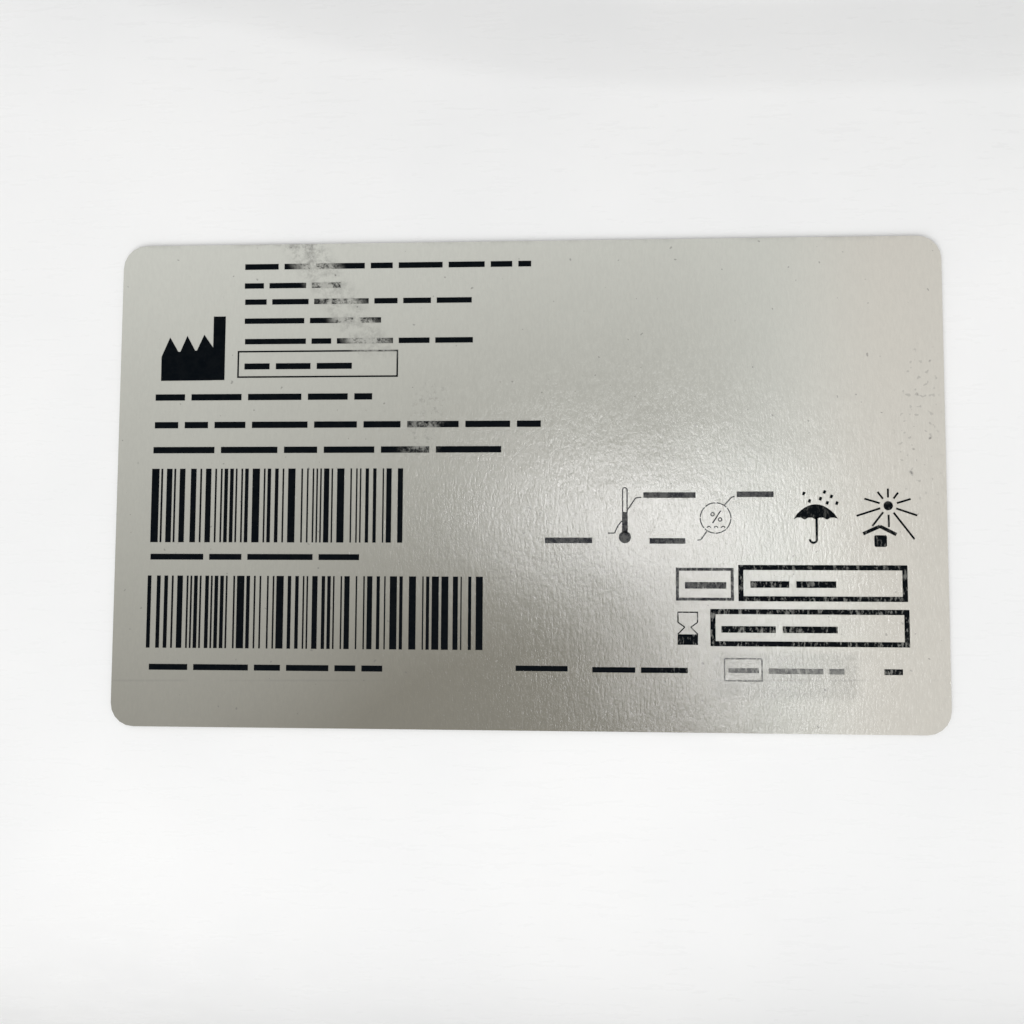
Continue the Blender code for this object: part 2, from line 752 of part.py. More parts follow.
def build_anvil(head):
    dome_base = ANVIL_FACE + ANVIL_RIM
    dome = [
        (dome_base + ANVIL_DOME * math.sin(a), HEAD_RADIUS * math.cos(a)) for a in quarter(5)
    ]
    dome[-1] = (dome_base + ANVIL_DOME, 0)
    hub_end = ANVIL_FLOOR + SHANK_SOCKET + SEAT_GAP
    anvil = piece(
        "anvil_head",
        "steel",
        turned(
            [
                (hub_end, 0),
                (hub_end, ANVIL_HUB_BORE),
                (ANVIL_FLOOR, ANVIL_HUB_BORE),
                (ANVIL_FLOOR, DECK_BORE),
                (ANVIL_FACE, DECK_BORE),
                (ANVIL_FACE, HEAD_RADIUS - 0.0004),
                (ANVIL_FACE + 0.0004, HEAD_RADIUS),
                *dome,
            ]
        ),
        head,
    )
    cut(
        anvil,
        ring_of_blocks(
            ANVIL_FACE - 0.001,
            ANVIL_FACE + POCKET_DEPTH,
            POCKET_LENGTH,
            POCKET_WIDTH,
            (-POCKET_SPREAD, POCKET_SPREAD),
        ),
        "leg_pockets",
    )
    shank_bore = SHANK_RADIUS - SHANK_WALL
    shank_end = ANVIL_FLOOR + SHANK_SOCKET
    shank = piece(
        "anvil_shank",
        "steel",
        turned(
            [
                (TROCAR_TIP + 0.002, 0),
                (TROCAR_TIP + 0.002, shank_bore),
                (SHANK_BACK, shank_bore),
                (SHANK_BACK, SHANK_RADIUS - 0.0002),
                (SHANK_BACK + 0.0006, SHANK_RADIUS),
                (shank_end, SHANK_RADIUS),
                (shank_end, 0),
            ],
            20,
        ),
        head,
    )
    slot_end = SHANK_BACK + LEAF_SLOT_LENGTH
    half = LEAF_SLOT_WIDTH / 2
    wide = 2 * SHANK_RADIUS
    cut(shank, block((SHANK_BACK - 0.001, -half, -wide), (slot_end, half, wide)), "leaf_slot_upright")
    cut(shank, block((SHANK_BACK - 0.001, -wide, -half), (slot_end, wide, half)), "leaf_slot_level")
    piece(
        "breakaway_washer",
        "white_plastic",
        sleeve(
            ANVIL_FLOOR - SEAT_GAP - WASHER_THICKNESS,
            ANVIL_FLOOR - SEAT_GAP,
            SHANK_RADIUS + SEAT_GAP,
            DECK_BORE - SEAT_GAP,
            24,
        ),
        head,
    )


def half_pillow(side, low, inset, edge_steps, steps=ARC_STEPS):
    """Half of the handle's shape, from that height beside the joint face out to its rounded side."""
    straight = CASING_HALF_WIDTH - CASING_EDGE_RADIUS
    edge = CASING_EDGE_RADIUS - inset
    corners = casing_corners()
    loops = [at_height(outline(corners, inset, steps), side * low)]
    for a in quarter(edge_steps):
        z = side * (straight + edge * math.sin(a))
        loops.append(at_height(outline(corners, inset + edge * (1 - math.cos(a)), steps), z))
    return loft(loops)


def on_side(side, bm):
    """Moves a piece built on the left side over to that side."""
    if side < 0:
        bm.transform(Matrix.Scale(-1, 4, (0, 0, 1)))
    return bm


def build_casing_half(name, side, instrument, grip):
    shell = piece(name, "casing_plastic", half_pillow(side, SEAT_GAP / 2, 0, 3), instrument)
    cut(shell, half_pillow(side, -SEAT_GAP, CASING_WALL, 2, 2), "cavity")
    cavity = bpy.data.objects[f"{name}.cavity"]
    crown = CASING_HALF_WIDTH + CASING_WALL
    slot_side = TRIGGER_HALF_WIDTH + SLOT_SIDE_GAP
    for k, (x, y) in enumerate(SCREW_SPOTS, 1):
        boss = upright(rod(SEAT_GAP / 2, crown, BOSS_RADIUS, 10), x, y)
        cut(cavity, on_side(side, boss), f"screw_boss_{k}")
    for label, pivot, pin in (
        ("trigger", TRIGGER_PIVOT, PIN_RADIUS),
        ("safety", SAFETY_PIVOT, SAFETY_PIN_RADIUS),
    ):
        boss = upright(rod(slot_side, crown, pin + CASING_WALL, 12), *pivot)
        cut(cavity, on_side(side, boss), f"{label}_boss")
        bore = upright(rod(0, PIN_HALF_LENGTH + SEAT_GAP, pin + RUNNING_GAP, 12), *pivot)
        cut(shell, on_side(side, bore), f"{label}_bore")
    bearing = rod(KNOB_BEARING_FRONT, CASING_LENGTH, KNOB_FLANGE_RADIUS + CASING_WALL, 24)
    cut(cavity, bearing, "knob_bearing")
    cut(shell, rod(-CASING_WALL, NOSE_BORE_LENGTH, SHAFT_RADIUS + SEAT_GAP, 20), "nose_bore")
    cut(
        shell,
        rod(KNOB_BEARING_FRONT - CASING_WALL, CASING_LENGTH + CASING_WALL, KNOB_NECK_RADIUS + SEAT_GAP, 24),
        "knob_bore",
    )
    slot_front = TRIGGER_PIVOT[0] - SLOT_TO_TRIGGER
    slot_rear = SAFETY_PIVOT[0] + SLOT_PAST_SAFETY
    slot_half = slot_side + 0.0001
    cut(
        shell,
        block((slot_front, SLOT_BOTTOM, -slot_half), (slot_rear, SLOT_TOP, slot_half)),
        "trigger_slot",
    )
    wide = 2 * CASING_HALF_WIDTH
    deep = 2 * PACK_BASE
    reach = 2 * GRIP_HALF_DEPTH
    cut(
        shell,
        block((-reach, -deep, -wide), (reach, 0, wide)),
        "battery_joint",
        grip,
        (0, 0, 0),
    )
    half = WINDOW_LENGTH / 2 + SEAT_GAP
    side_half = WINDOW_WIDTH / 2 + SEAT_GAP
    cut(
        shell,
        block((-half, -2 * CASING_WALL, -side_half), (half, 0.01, side_half)),
        "window_opening",
        bpy.data.objects["window_frame"],
        (0, 0, 0),
    )
    return shell


def build_casing(instrument, grip):
    left = build_casing_half("casing_left", 1, instrument, grip)
    right = build_casing_half("casing_right", -1, instrument, grip)
    for k, (x, y) in enumerate(SCREW_SPOTS, 1):
        well = rod(SCREW_SEAT_Z, 2 * CASING_HALF_WIDTH, SCREW_HEAD_RADIUS + SEAT_GAP, 12)
        cut(left, upright(well, x, y), f"screw_well_{k}")
        bore = rod(-SEAT_GAP, SCREW_SEAT_Z + SEAT_GAP, SCREW_RADIUS + SEAT_GAP, 10)
        cut(left, upright(bore, x, y), f"screw_bore_{k}")
        end = SCREW_SEAT_Z - SCREW_LENGTH - SEAT_GAP
        cut(right, upright(rod(end, SEAT_GAP, SCREW_RADIUS + SEAT_GAP, 10), x, y), f"screw_bore_{k}")
        seat = SCREW_SEAT_Z + SEAT_GAP
        screw = turned(
            [
                (seat - SCREW_LENGTH, 0),
                (seat - SCREW_LENGTH, SCREW_RADIUS),
                (seat, SCREW_RADIUS),
                (seat, SCREW_HEAD_RADIUS),
                (seat + SCREW_HEAD_HEIGHT, SCREW_HEAD_RADIUS * 0.85),
                (seat + SCREW_HEAD_HEIGHT, SCREW_HEAD_RADIUS * 0.35),
                (seat + SCREW_HEAD_HEIGHT * 0.4, SCREW_HEAD_RADIUS * 0.3),
                (seat + SCREW_HEAD_HEIGHT * 0.4, 0),
            ],
            10,
        )
        piece(f"casing_screw_{k}", "steel", upright(screw, 0, 0), instrument, (x, y, 0))


def build_window(window):
    half = WINDOW_LENGTH / 2
    side = WINDOW_WIDTH / 2
    piece(
        "gap_window",
        "clear_plastic",
        block((-half, -WINDOW_THICKNESS, -side), (half, 0, side)),
        window,
    )
    indicator_top = -WINDOW_THICKNESS - SEAT_GAP
    indicator_low = indicator_top - INDICATOR_THICKNESS
    scale_top = -CASING_WALL - SEAT_GAP
    piece(
        "gap_scale",
        "white_plastic",
        block(
            (-half - 0.003, scale_top - SCALE_THICKNESS, -side - 0.002),
            (half + 0.003, scale_top, side + 0.002),
        ),
        window,
    )
    front = 0.001 - half
    pointer = piece(
        "gap_indicator",
        "safety_plastic",
        slab(rectangle((0, -side + 0.001), (INDICATOR_LENGTH, side - 0.001), 0.0008), 0, INDICATOR_THICKNESS, 2),
        window,
        (front, indicator_low, 0),
    )
    pointer.rotation_euler = (-math.pi / 2, 0, 0)


def knob_flute(x, radius, angle):
    """Finger flutes, deepest between the ribs, only on the knob's wide part."""
    if x < KNOB_FRONT + 0.004 or x > KNOB_END - 0.003 or radius < 0.8 * KNOB_RADIUS:
        return 0.0
    return KNOB_FLUTE_DEPTH * (0.5 - 0.5 * math.cos(KNOB_FLUTES * angle)) ** 2


def build_closing_drive(instrument):
    flange_rear = KNOB_BEARING_FRONT - SEAT_GAP
    flange_front = flange_rear - KNOB_FLANGE_LENGTH
    nut_bore = LEAD_NUT_RADIUS + SEAT_GAP
    nut_seat = flange_front + LEAD_NUT_LENGTH
    rod_bore = SCREW_ROD_RADIUS + 2 * SEAT_GAP
    rod_reach = SCREW_ROD_END + CLOSING_STROKE + 0.002
    length = KNOB_LENGTH
    piece(
        "adjusting_knob",
        "knob_plastic",
        turned(
            [
                (rod_reach, 0),
                (rod_reach, rod_bore),
                (nut_seat, rod_bore),
                (nut_seat, nut_bore),
                (flange_front, nut_bore),
                (flange_front, KNOB_FLANGE_RADIUS),
                (flange_rear, KNOB_FLANGE_RADIUS),
                (flange_rear, KNOB_NECK_RADIUS),
                (KNOB_FRONT, KNOB_NECK_RADIUS),
                (KNOB_FRONT, KNOB_RADIUS * 0.90),
                (KNOB_FRONT + 0.0015, KNOB_RADIUS * 0.95),
                (KNOB_FRONT + length * 0.12, KNOB_RADIUS * 0.96),
                (KNOB_FRONT + length * 0.40, KNOB_RADIUS * 0.93),
                (KNOB_FRONT + length * 0.75, KNOB_RADIUS),
                (KNOB_FRONT + length * 0.90, KNOB_RADIUS * 0.97),
                (KNOB_FRONT + length * 0.97, KNOB_RADIUS * 0.84),
                (KNOB_END, KNOB_RADIUS * 0.62),
                (KNOB_END - 0.0008, KNOB_RADIUS * 0.52),
                (KNOB_END - 0.0008, 0),
            ],
            KNOB_FLUTES * 4,
            flute=knob_flute,
        ),
        instrument,
    )
    piece(
        "lead_nut",
        "brass",
        sleeve(flange_front, nut_seat - SEAT_GAP, SCREW_ROD_RADIUS + SEAT_GAP, LEAD_NUT_RADIUS, 20),
        instrument,
    )
    piece(
        "closure_screw",
        "steel",
        turned(
            [
                (PULL_ROD_FRONT, 0),
                (PULL_ROD_FRONT, PULL_ROD_RADIUS),
                (SCREW_ROD_START, PULL_ROD_RADIUS),
                (SCREW_ROD_START + 0.001, SCREW_ROD_RADIUS),
                (SCREW_ROD_END - 0.001, SCREW_ROD_RADIUS),
                (SCREW_ROD_END, SCREW_ROD_RADIUS * 0.7),
                (SCREW_ROD_END, 0),
            ]
        ),
        instrument,
    )


def cam_rise(angle):
    """Height of the cam's face: a straight rise over half a turn and a straight fall over the other half."""
    part = (angle / math.pi) % 2
    return FIRING_STROKE * (part if part <= 1 else 2 - part)


def build_cam():
    """A drum about X whose front face is the cam. Its low point is at +Y when it rests."""
    bm = bmesh.new()
    steps = 28
    bore = CAM_SHAFT_RADIUS + RUNNING_GAP
    rows = []
    for k in range(steps):
        angle = 2 * math.pi * k / steps
        front = CAM_FRONT + FIRING_STROKE - cam_rise(angle)
        section = [
            (front, bore),
            (front, CAM_RADIUS),
            (CAM_FRONT + CAM_LENGTH, CAM_RADIUS),
            (CAM_FRONT + CAM_LENGTH, bore),
        ]
        rows.append(
            [bm.verts.new((x, r * math.cos(angle), r * math.sin(angle))) for x, r in section]
        )
    for here, there in zip(rows, rows[1:] + rows[:1]):
        for k in range(4):
            n = (k + 1) % 4
            bm.faces.new((here[k], here[n], there[n], there[k]))
    return bm


def build_firing_drive(instrument):
    on_axis = (0, MOTOR_Y, 0)
    shaft_front = CAM_FRONT + FIRING_STROKE + RUNNING_GAP
    piece("firing_cam", "steel", build_cam(), instrument, on_axis)
    piece(
        "gearbox",
        "steel",
        turned(
            [
                (shaft_front, 0),
                (shaft_front, CAM_SHAFT_RADIUS),
                (GEARBOX_FRONT, CAM_SHAFT_RADIUS),
                (GEARBOX_FRONT, MOTOR_RADIUS * 0.9),
                (GEARBOX_FRONT + 0.002, MOTOR_RADIUS),
                (GEARBOX_FRONT + GEARBOX_LENGTH, MOTOR_RADIUS),
                (GEARBOX_FRONT + GEARBOX_LENGTH, 0),
            ],
            20,
        ),
        instrument,
        on_axis,
    )
    motor_front = GEARBOX_FRONT + GEARBOX_LENGTH + SEAT_GAP
    motor_rear = motor_front + MOTOR_LENGTH
    motor = piece(
        "motor",
        "dark_plastic",
        turned(
            [
                (motor_front, 0),
                (motor_front, MOTOR_RADIUS),
                (motor_rear - 0.002, MOTOR_RADIUS),
                (motor_rear - 0.002, MOTOR_RADIUS * 0.4),
                (motor_rear, MOTOR_RADIUS * 0.4),
                (motor_rear, 0),
            ],
            20,
        ),
        instrument,
        on_axis,
    )
    flat = MOTOR_RADIUS * 0.86
    wide = 2 * MOTOR_RADIUS
    for side in (-1, 1):
        low, high = sorted((side * flat, side * wide))
        cut(
            motor,
            block((motor_front + 0.003, -wide, low), (motor_rear - 0.004, wide, high)),
            "flat_left" if side > 0 else "flat_right",
        )
    mount_front = GEARBOX_FRONT + 0.004
    mount_half = CASING_HALF_WIDTH - CASING_WALL - SEAT_GAP
    mount = piece(
        "motor_mount",
        "inner_plastic",
        block(
            (mount_front, MOTOR_Y - 0.0065, -mount_half),
            (mount_front + MOTOR_MOUNT_LENGTH, MOTOR_Y + MOTOR_RADIUS + 0.0026, mount_half),
        ),
        instrument,
    )
    cut(
        mount,
        rod(mount_front - 0.002, mount_front + MOTOR_MOUNT_LENGTH + 0.002, MOTOR_RADIUS + SEAT_GAP, 20),
        "gearbox_bore",
        place=on_axis,
    )
    build_bracket(instrument)


def build_bracket(instrument):
    """Pushes the drive tube. Its arm reaches down to the cam and carries the roller on a stub."""
    roller_x = CAM_FRONT + FIRING_STROKE - ROLLER_RADIUS / math.cos(cam_slope()) - SEAT_GAP
    roller_y = MOTOR_Y + CAM_TRACK_RADIUS
    block_rear = BRACKET_FRONT + BRACKET_LENGTH
    arm_low = roller_y + ROLLER_WIDTH / 2 + SEAT_GAP
    arm_rear = roller_x + ROLLER_RADIUS
    bracket = piece(
        "drive_bracket",
        "steel",
        block((BRACKET_FRONT, -BRACKET_HALF, -BRACKET_HALF), (block_rear, BRACKET_HALF, BRACKET_HALF)),
        instrument,
    )
    fuse(
        bracket,
        block((block_rear - 0.003, arm_low, -BRACKET_ARM), (arm_rear, arm_low + BRACKET_ARM, BRACKET_ARM)),
        "arm",
    )
    stub = rod(-0.002, ROLLER_WIDTH + SEAT_GAP, ROLLER_RADIUS * 0.45, 12)
    stub.transform(Matrix.Translation((roller_x, arm_low, 0)) @ Matrix.Rotation(-math.pi / 2, 4, "Z"))
    fuse(bracket, stub, "roller_stub")
    cut(
        bracket,
        rod(BRACKET_FRONT - 0.001, arm_rear + 0.001, PULL_ROD_RADIUS + 2 * RUNNING_GAP, 16),
        "rod_bore",
    )
    wheel = sleeve(
        -ROLLER_WIDTH / 2, ROLLER_WIDTH / 2, ROLLER_RADIUS * 0.45 + RUNNING_GAP, ROLLER_RADIUS, 16
    )
    wheel.transform(Matrix.Rotation(math.pi / 2, 4, "Z"))
    piece("cam_roller", "steel", wheel, instrument, (roller_x, roller_y, 0))


def cam_slope():
    return math.atan(FIRING_STROKE / (math.pi * CAM_TRACK_RADIUS))


def trigger_corners():
    """Side view of the trigger about its pivot: a short paddle above, and a hollowed finger blade below."""
    length = TRIGGER_LENGTH
    half = TRIGGER_PADDLE_HALF
    boss = TRIGGER_BOSS
    tip = TRIGGER_TIP_RADIUS
    return [
        (-half, TRIGGER_PADDLE, 0.35 * half),
        (-boss, -0.74 * boss, 0.74 * boss),
        (TRIGGER_SWEEP, -0.58 * length, TRIGGER_CURVE),
        (TRIGGER_TOE, -length, tip),
        (TRIGGER_TOE + TRIGGER_DEPTH, -length + 0.4 * tip, tip),
        (TRIGGER_SWEEP + TRIGGER_DEPTH, -0.60 * length, TRIGGER_CURVE),
        (boss, -0.60 * boss, 0.60 * boss),
        (half, TRIGGER_PADDLE, 0.35 * half),
    ]


def safety_corners():
    """Side view of the safety catch about its pivot, folded back under the barrel, where it frees the trigger."""
    return [
        (-0.0035, 0.003, 0.002),
        (-0.0035, -0.004, 0.003),
        (0.0040, -0.0125, 0.005),
        (0.0230, -0.0195, 0.0018),
        (0.0245, -0.0160, 0.0015),
        (0.0085, -0.0085, 0.005),
        (0.0040, 0.003, 0.002),
    ]


def build_trigger(instrument):
    trigger = piece(
        "firing_trigger",
        "trigger_plastic",
        pillow(trigger_corners(), TRIGGER_HALF_WIDTH, TRIGGER_EDGE_RADIUS, 3),
        instrument,
        (*TRIGGER_PIVOT, 0),
    )
    wide = 2 * TRIGGER_HALF_WIDTH
    cut(trigger, upright(rod(-wide, wide, PIN_RADIUS + RUNNING_GAP, 16), 0, 0), "pin_bore")
    pin_half = PIN_HALF_LENGTH
    piece(
        "trigger_pin",
        "steel",
        upright(rod(-pin_half, pin_half, PIN_RADIUS, 16), 0, 0),
        instrument,
        (*TRIGGER_PIVOT, 0),
    )
    safety = piece(
        "safety_catch",
        "safety_plastic",
        pillow(safety_corners(), SAFETY_HALF_WIDTH, SAFETY_EDGE_RADIUS, 2, 2),
        instrument,
        (*SAFETY_PIVOT, 0),
    )
    cut(
        safety,
        upright(rod(-wide, wide, SAFETY_PIN_RADIUS + RUNNING_GAP, 12), 0, 0),
        "pin_bore",
    )
    piece(
        "safety_pin",
        "steel",
        upright(rod(-pin_half, pin_half, SAFETY_PIN_RADIUS, 12), 0, 0),
        instrument,
        (*SAFETY_PIVOT, 0),
    )


def build_electrics(instrument, left):
    board_y = BOARD_Y + BOARD_HEIGHT / 2
    piece(
        "circuit_board",
        "board",
        block(
            (BOARD_X, BOARD_Y, BOARD_Z),
            (BOARD_X + BOARD_LENGTH, BOARD_Y + BOARD_HEIGHT, BOARD_Z + BOARD_THICKNESS),
        ),
        instrument,
    )
    light_foot = BOARD_Z + BOARD_THICKNESS + SEAT_GAP
    light_top = CASING_HALF_WIDTH + LIGHT_STAND_OUT
    for k in range(3):
        x = BOARD_X + BOARD_LENGTH / 2 + (k - 1) * LIGHT_SPACING
        light = turned(
            [
                (light_foot, 0),
                (light_foot, LIGHT_RADIUS),
                (light_top - LIGHT_STAND_OUT, LIGHT_RADIUS),
                (light_top, LIGHT_RADIUS * 0.55),
                (light_top, 0),
            ],
            SMALL_STEPS,
        )
        piece(f"status_light_{k + 1}", "clear_plastic", upright(light, 0, 0), instrument, (x, board_y, 0))
        hole = rod(light_foot, 2 * CASING_HALF_WIDTH, LIGHT_RADIUS + SEAT_GAP, SMALL_STEPS)
        cut(left, upright(hole, x, board_y), f"light_hole_{k + 1}")
    boss_x, boss_y = SCREW_SPOTS[0]
    front = boss_x + BOSS_RADIUS + SEAT_GAP
    half = SWITCH_HEIGHT / 2
    piece(
        "trigger_switch",
        "dark_plastic",
        block((front, boss_y - half, -SWITCH_HALF_WIDTH), (front + SWITCH_LENGTH, boss_y + half, SWITCH_HALF_WIDTH)),
        instrument,
    )


def build_battery(grip, left, right):
    depth, width = PACK_HALF_DEPTH, PACK_HALF_WIDTH
    base = rectangle((-GRIP_HALF_DEPTH, -PACK_BASE), (GRIP_HALF_DEPTH, 2 * PACK_BASE), 0.006)
    case = piece(
        "battery_case",
        "dark_plastic",
        pillow(base, GRIP_HALF_WIDTH, CASING_EDGE_RADIUS, edge_steps=4),
        grip,
    )
    wide = 3 * GRIP_HALF_WIDTH
    cut(case, block((-wide, -SEAT_GAP, -wide), (wide, 4 * PACK_BASE, wide)), "joint")
    fuse(case, block((-depth, -PACK_FLOOR, -width), (depth, PACK_INSERT, width)), "insert")
    hollow_depth, hollow_width = depth - PACK_WALL, width - PACK_WALL
    floor = PACK_INSERT - 2 * CELL_LENGTH - 3 * CELL_GAP
    cut(
        case,
        block((-hollow_depth, floor, -hollow_width), (hollow_depth, PACK_INSERT + 0.01, hollow_width)),
        "cell_bay",
    )
    for k in range(4):
        column, row = k % 2, k // 2
        start = floor + CELL_GAP + row * (CELL_LENGTH + CELL_GAP)
        cell = turned(
            [
                (start, 0),
                (start, CELL_RADIUS),
                (start + CELL_LENGTH - 0.001, CELL_RADIUS),
                (start + CELL_LENGTH - 0.001, CELL_RADIUS * 0.35),
                (start + CELL_LENGTH, CELL_RADIUS * 0.35),
                (start + CELL_LENGTH, 0),
            ],
            SMALL_STEPS,
        )
        cell.transform(Matrix.Rotation(math.pi / 2, 4, "Z"))
        side = (column - 0.5) * (2 * CELL_RADIUS + CELL_GAP)
        piece(f"battery_cell_{k + 1}", "cell_wrap", cell, grip, (side, 0, 0))
    latch_y = LATCH_UP - PACK_BASE
    inner = GRIP_HALF_DEPTH - LATCH_DEPTH
    outer = GRIP_HALF_DEPTH + LATCH_STAND_OUT
    half = LATCH_HEIGHT / 2
    pocket = block(
        (inner - LATCH_TRAVEL - 2 * SEAT_GAP, latch_y - half - SEAT_GAP, -LATCH_HALF_WIDTH - SEAT_GAP),
        (outer + 0.01, latch_y + half + SEAT_GAP, LATCH_HALF_WIDTH + SEAT_GAP),
    )
    cut(case, pocket, "latch_pocket")
    latch = slab(
        rectangle((-half, -LATCH_HALF_WIDTH), (half, LATCH_HALF_WIDTH), 0.0015), inner, outer, 3
    )
    latch.transform(Matrix.Rotation(math.pi / 2, 4, "Y") @ Matrix.Rotation(math.pi / 2, 4, "Z"))
    piece("battery_latch", "trigger_plastic", latch, grip, (0, latch_y, 0))
    reach = CASING_HALF_WIDTH - CASING_WALL - SEAT_GAP
    piece(
        "battery_contacts",
        "brass",
        block((-0.0115, CONTACT_Y, -reach), (0.0115, CONTACT_Y + CONTACT_THICKNESS, reach)),
        grip,
    )


def instrument_reach():
    """How far the instrument reaches from its origin: towards the head, the knob, the tip's side and the grip's side."""
    x, y, heading = shaft_point(SHAFT_LENGTH)
    tip_x = x + HEAD_REACH * math.cos(heading)
    rim = HEAD_REACH - ANVIL_DOME
    rim_y = y + rim * math.sin(heading) + HEAD_RADIUS * math.cos(BEND_ANGLE)
    lowest = min(grip_point(side * GRIP_HALF_DEPTH, -PACK_BASE)[1] for side in (-1, 1))
    return -tip_x, KNOB_END, rim_y, -lowest


def build_tray(low, high):
    """Thin formed sheet: floor, drafted wall, flange and turned-down lip, first its upper side and then its under side."""
    corners = rectangle(low, high, TRAY_CORNER)
    skin = TRAY_THICKNESS
    step_low = -TRAY_DRAFT * TRAY_STEP_HEIGHT / TRAY_DEPTH
    step_high = step_low - TRAY_STEP
    wall_top = -TRAY_DRAFT - TRAY_STEP
    rim = wall_top - TRAY_FLANGE
    layers = [
        (0.0015, skin),
        (0.0, skin + 0.0015),
        (step_low, TRAY_STEP_HEIGHT - 0.0004),
        (step_high, TRAY_STEP_HEIGHT),
        (wall_top + 0.0005, TRAY_DEPTH - 0.001),
        (wall_top - 0.0008, TRAY_DEPTH),
        (rim, TRAY_DEPTH),
        (rim - skin, TRAY_DEPTH - 0.0008),
        (rim - skin, TRAY_DEPTH - TRAY_LIP),
        (rim, TRAY_DEPTH - TRAY_LIP),
        (rim, TRAY_DEPTH - skin),
        (wall_top - skin - 0.0004, TRAY_DEPTH - skin),
        (step_high - skin, TRAY_STEP_HEIGHT - skin),
        (step_low - skin, TRAY_STEP_HEIGHT - 0.0004 - skin),
        (-skin, 0.002),
        (0.0008, 0.0),
    ]
    loops = [at_height(outline(corners, inset, 5), z) for inset, z in layers]
    piece("tray", "tray_plastic", loft(loops), None)


def foam_block(name, low, high, parent, notch=None):
    """A foam block standing on the tray's floor, with an open notch for what it holds."""
    made = piece(name, "foam", block(low, high), parent)
    if notch:
        axis_y, axis_z, radius = notch
        trough = rod(low[0] - 0.01, high[0] + 0.01, radius, 24)
        trough.transform(Matrix.Translation((0, axis_y, axis_z)))
        cut(made, trough, "trough")
        mouth = block((low[0] - 0.01, axis_y - radius, axis_z), (high[0] + 0.01, axis_y + radius, high[2] + 0.01))
        cut(made, mouth, "mouth")
    return made


def build_packing(instrument, head, grip):
    reach_head, reach_knob, reach_tip, reach_grip = instrument_reach()
    origin_x, origin_y, _ = instrument.location
    half_length = (reach_head + reach_knob) / 2 + TRAY_MARGIN
    front = origin_y - reach_grip - TRAY_FRONT_MARGIN
    back = origin_y + reach_tip + TRAY_MARGIN
    build_tray((-half_length, front), (half_length, back))
    floor = TRAY_THICKNESS + SEAT_GAP - AXIS_HEIGHT
    head_seat = HEAD_RADIUS + SEAT_GAP
    head_end = DECK_FACE - FOAM_HEAD_TO_DECK
    foam_block(
        "foam_head",
        (head_end - FOAM_HEAD_LENGTH, -FOAM_HEAD_HALF, floor),
        (head_end, FOAM_HEAD_HALF, FOAM_SHOULDER),
        head,
        (0, 0, head_seat),
    )
    shaft_seat = SHAFT_RADIUS + SEAT_GAP
    foam_block(
        "foam_shaft",
        (-FOAM_SHAFT_TO_NOSE - FOAM_SHAFT_LENGTH, -FOAM_SHAFT_HALF, floor),
        (-FOAM_SHAFT_TO_NOSE, FOAM_SHAFT_HALF, FOAM_SHOULDER),
        instrument,
        (0, 0, shaft_seat),
    )
    under = -CASING_HALF_WIDTH - SEAT_GAP
    barrel_end = CASING_LENGTH - FOAM_BARREL_TO_REAR
    foam_block(
        "foam_barrel",
        (barrel_end - FOAM_BARREL_LENGTH, -FOAM_BARREL_LOW, floor),
        (barrel_end, FOAM_BARREL_HIGH, under),
        instrument,
    )
    foam_block(
        "foam_grip",
        (-FOAM_GRIP_HALF, FOAM_GRIP_START, floor),
        (FOAM_GRIP_HALF, FOAM_GRIP_START + FOAM_GRIP_LENGTH, under),
        grip,
    )
    label_right = origin_x - LABEL_TO_NOSE
    label_top = origin_y - LABEL_TO_SHAFT - SHAFT_RADIUS
    label_low = TRAY_THICKNESS + SEAT_GAP
    piece(
        "pack_label",
        "label_film",
        slab(
            rectangle(
                (label_right - LABEL_LENGTH, label_top - LABEL_WIDTH),
                (label_right, label_top),
                LABEL_CORNER,
            ),
            label_low,
            label_low + LABEL_THICKNESS,
            5,
        ),
        None,
    )


def main():
    clear_scene()
    reach_head, reach_knob, reach_tip, reach_grip = instrument_reach()
    origin_x = (reach_head - reach_knob) / 2
    origin_y = (reach_grip + TRAY_FRONT_MARGIN - reach_tip - TRAY_MARGIN) / 2
    instrument = frame("instrument_frame", (origin_x, origin_y, AXIS_HEIGHT))
    head_x, head_y, heading = shaft_point(SHAFT_LENGTH)
    head = frame("head_frame", (head_x, head_y, 0), heading, instrument)
    grip = frame("grip_frame", (*grip_point(0, 0), 0), GRIP_LEAN, instrument)
    place, slope = window_place()
    window = frame("window_frame", place, slope, instrument)
    build_shaft(instrument, head)
    build_head(head)
    build_anvil(head)
    build_casing(instrument, grip)
    left = bpy.data.objects["casing_left"]
    right = bpy.data.objects["casing_right"]
    build_window(window)
    build_closing_drive(instrument)
    build_firing_drive(instrument)
    build_trigger(instrument)
    build_electrics(instrument, left)
    build_battery(grip, left, right)
    build_packing(instrument, head, grip)


main()
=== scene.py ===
import math
import random

import bmesh
import bpy
from mathutils import Matrix, Vector


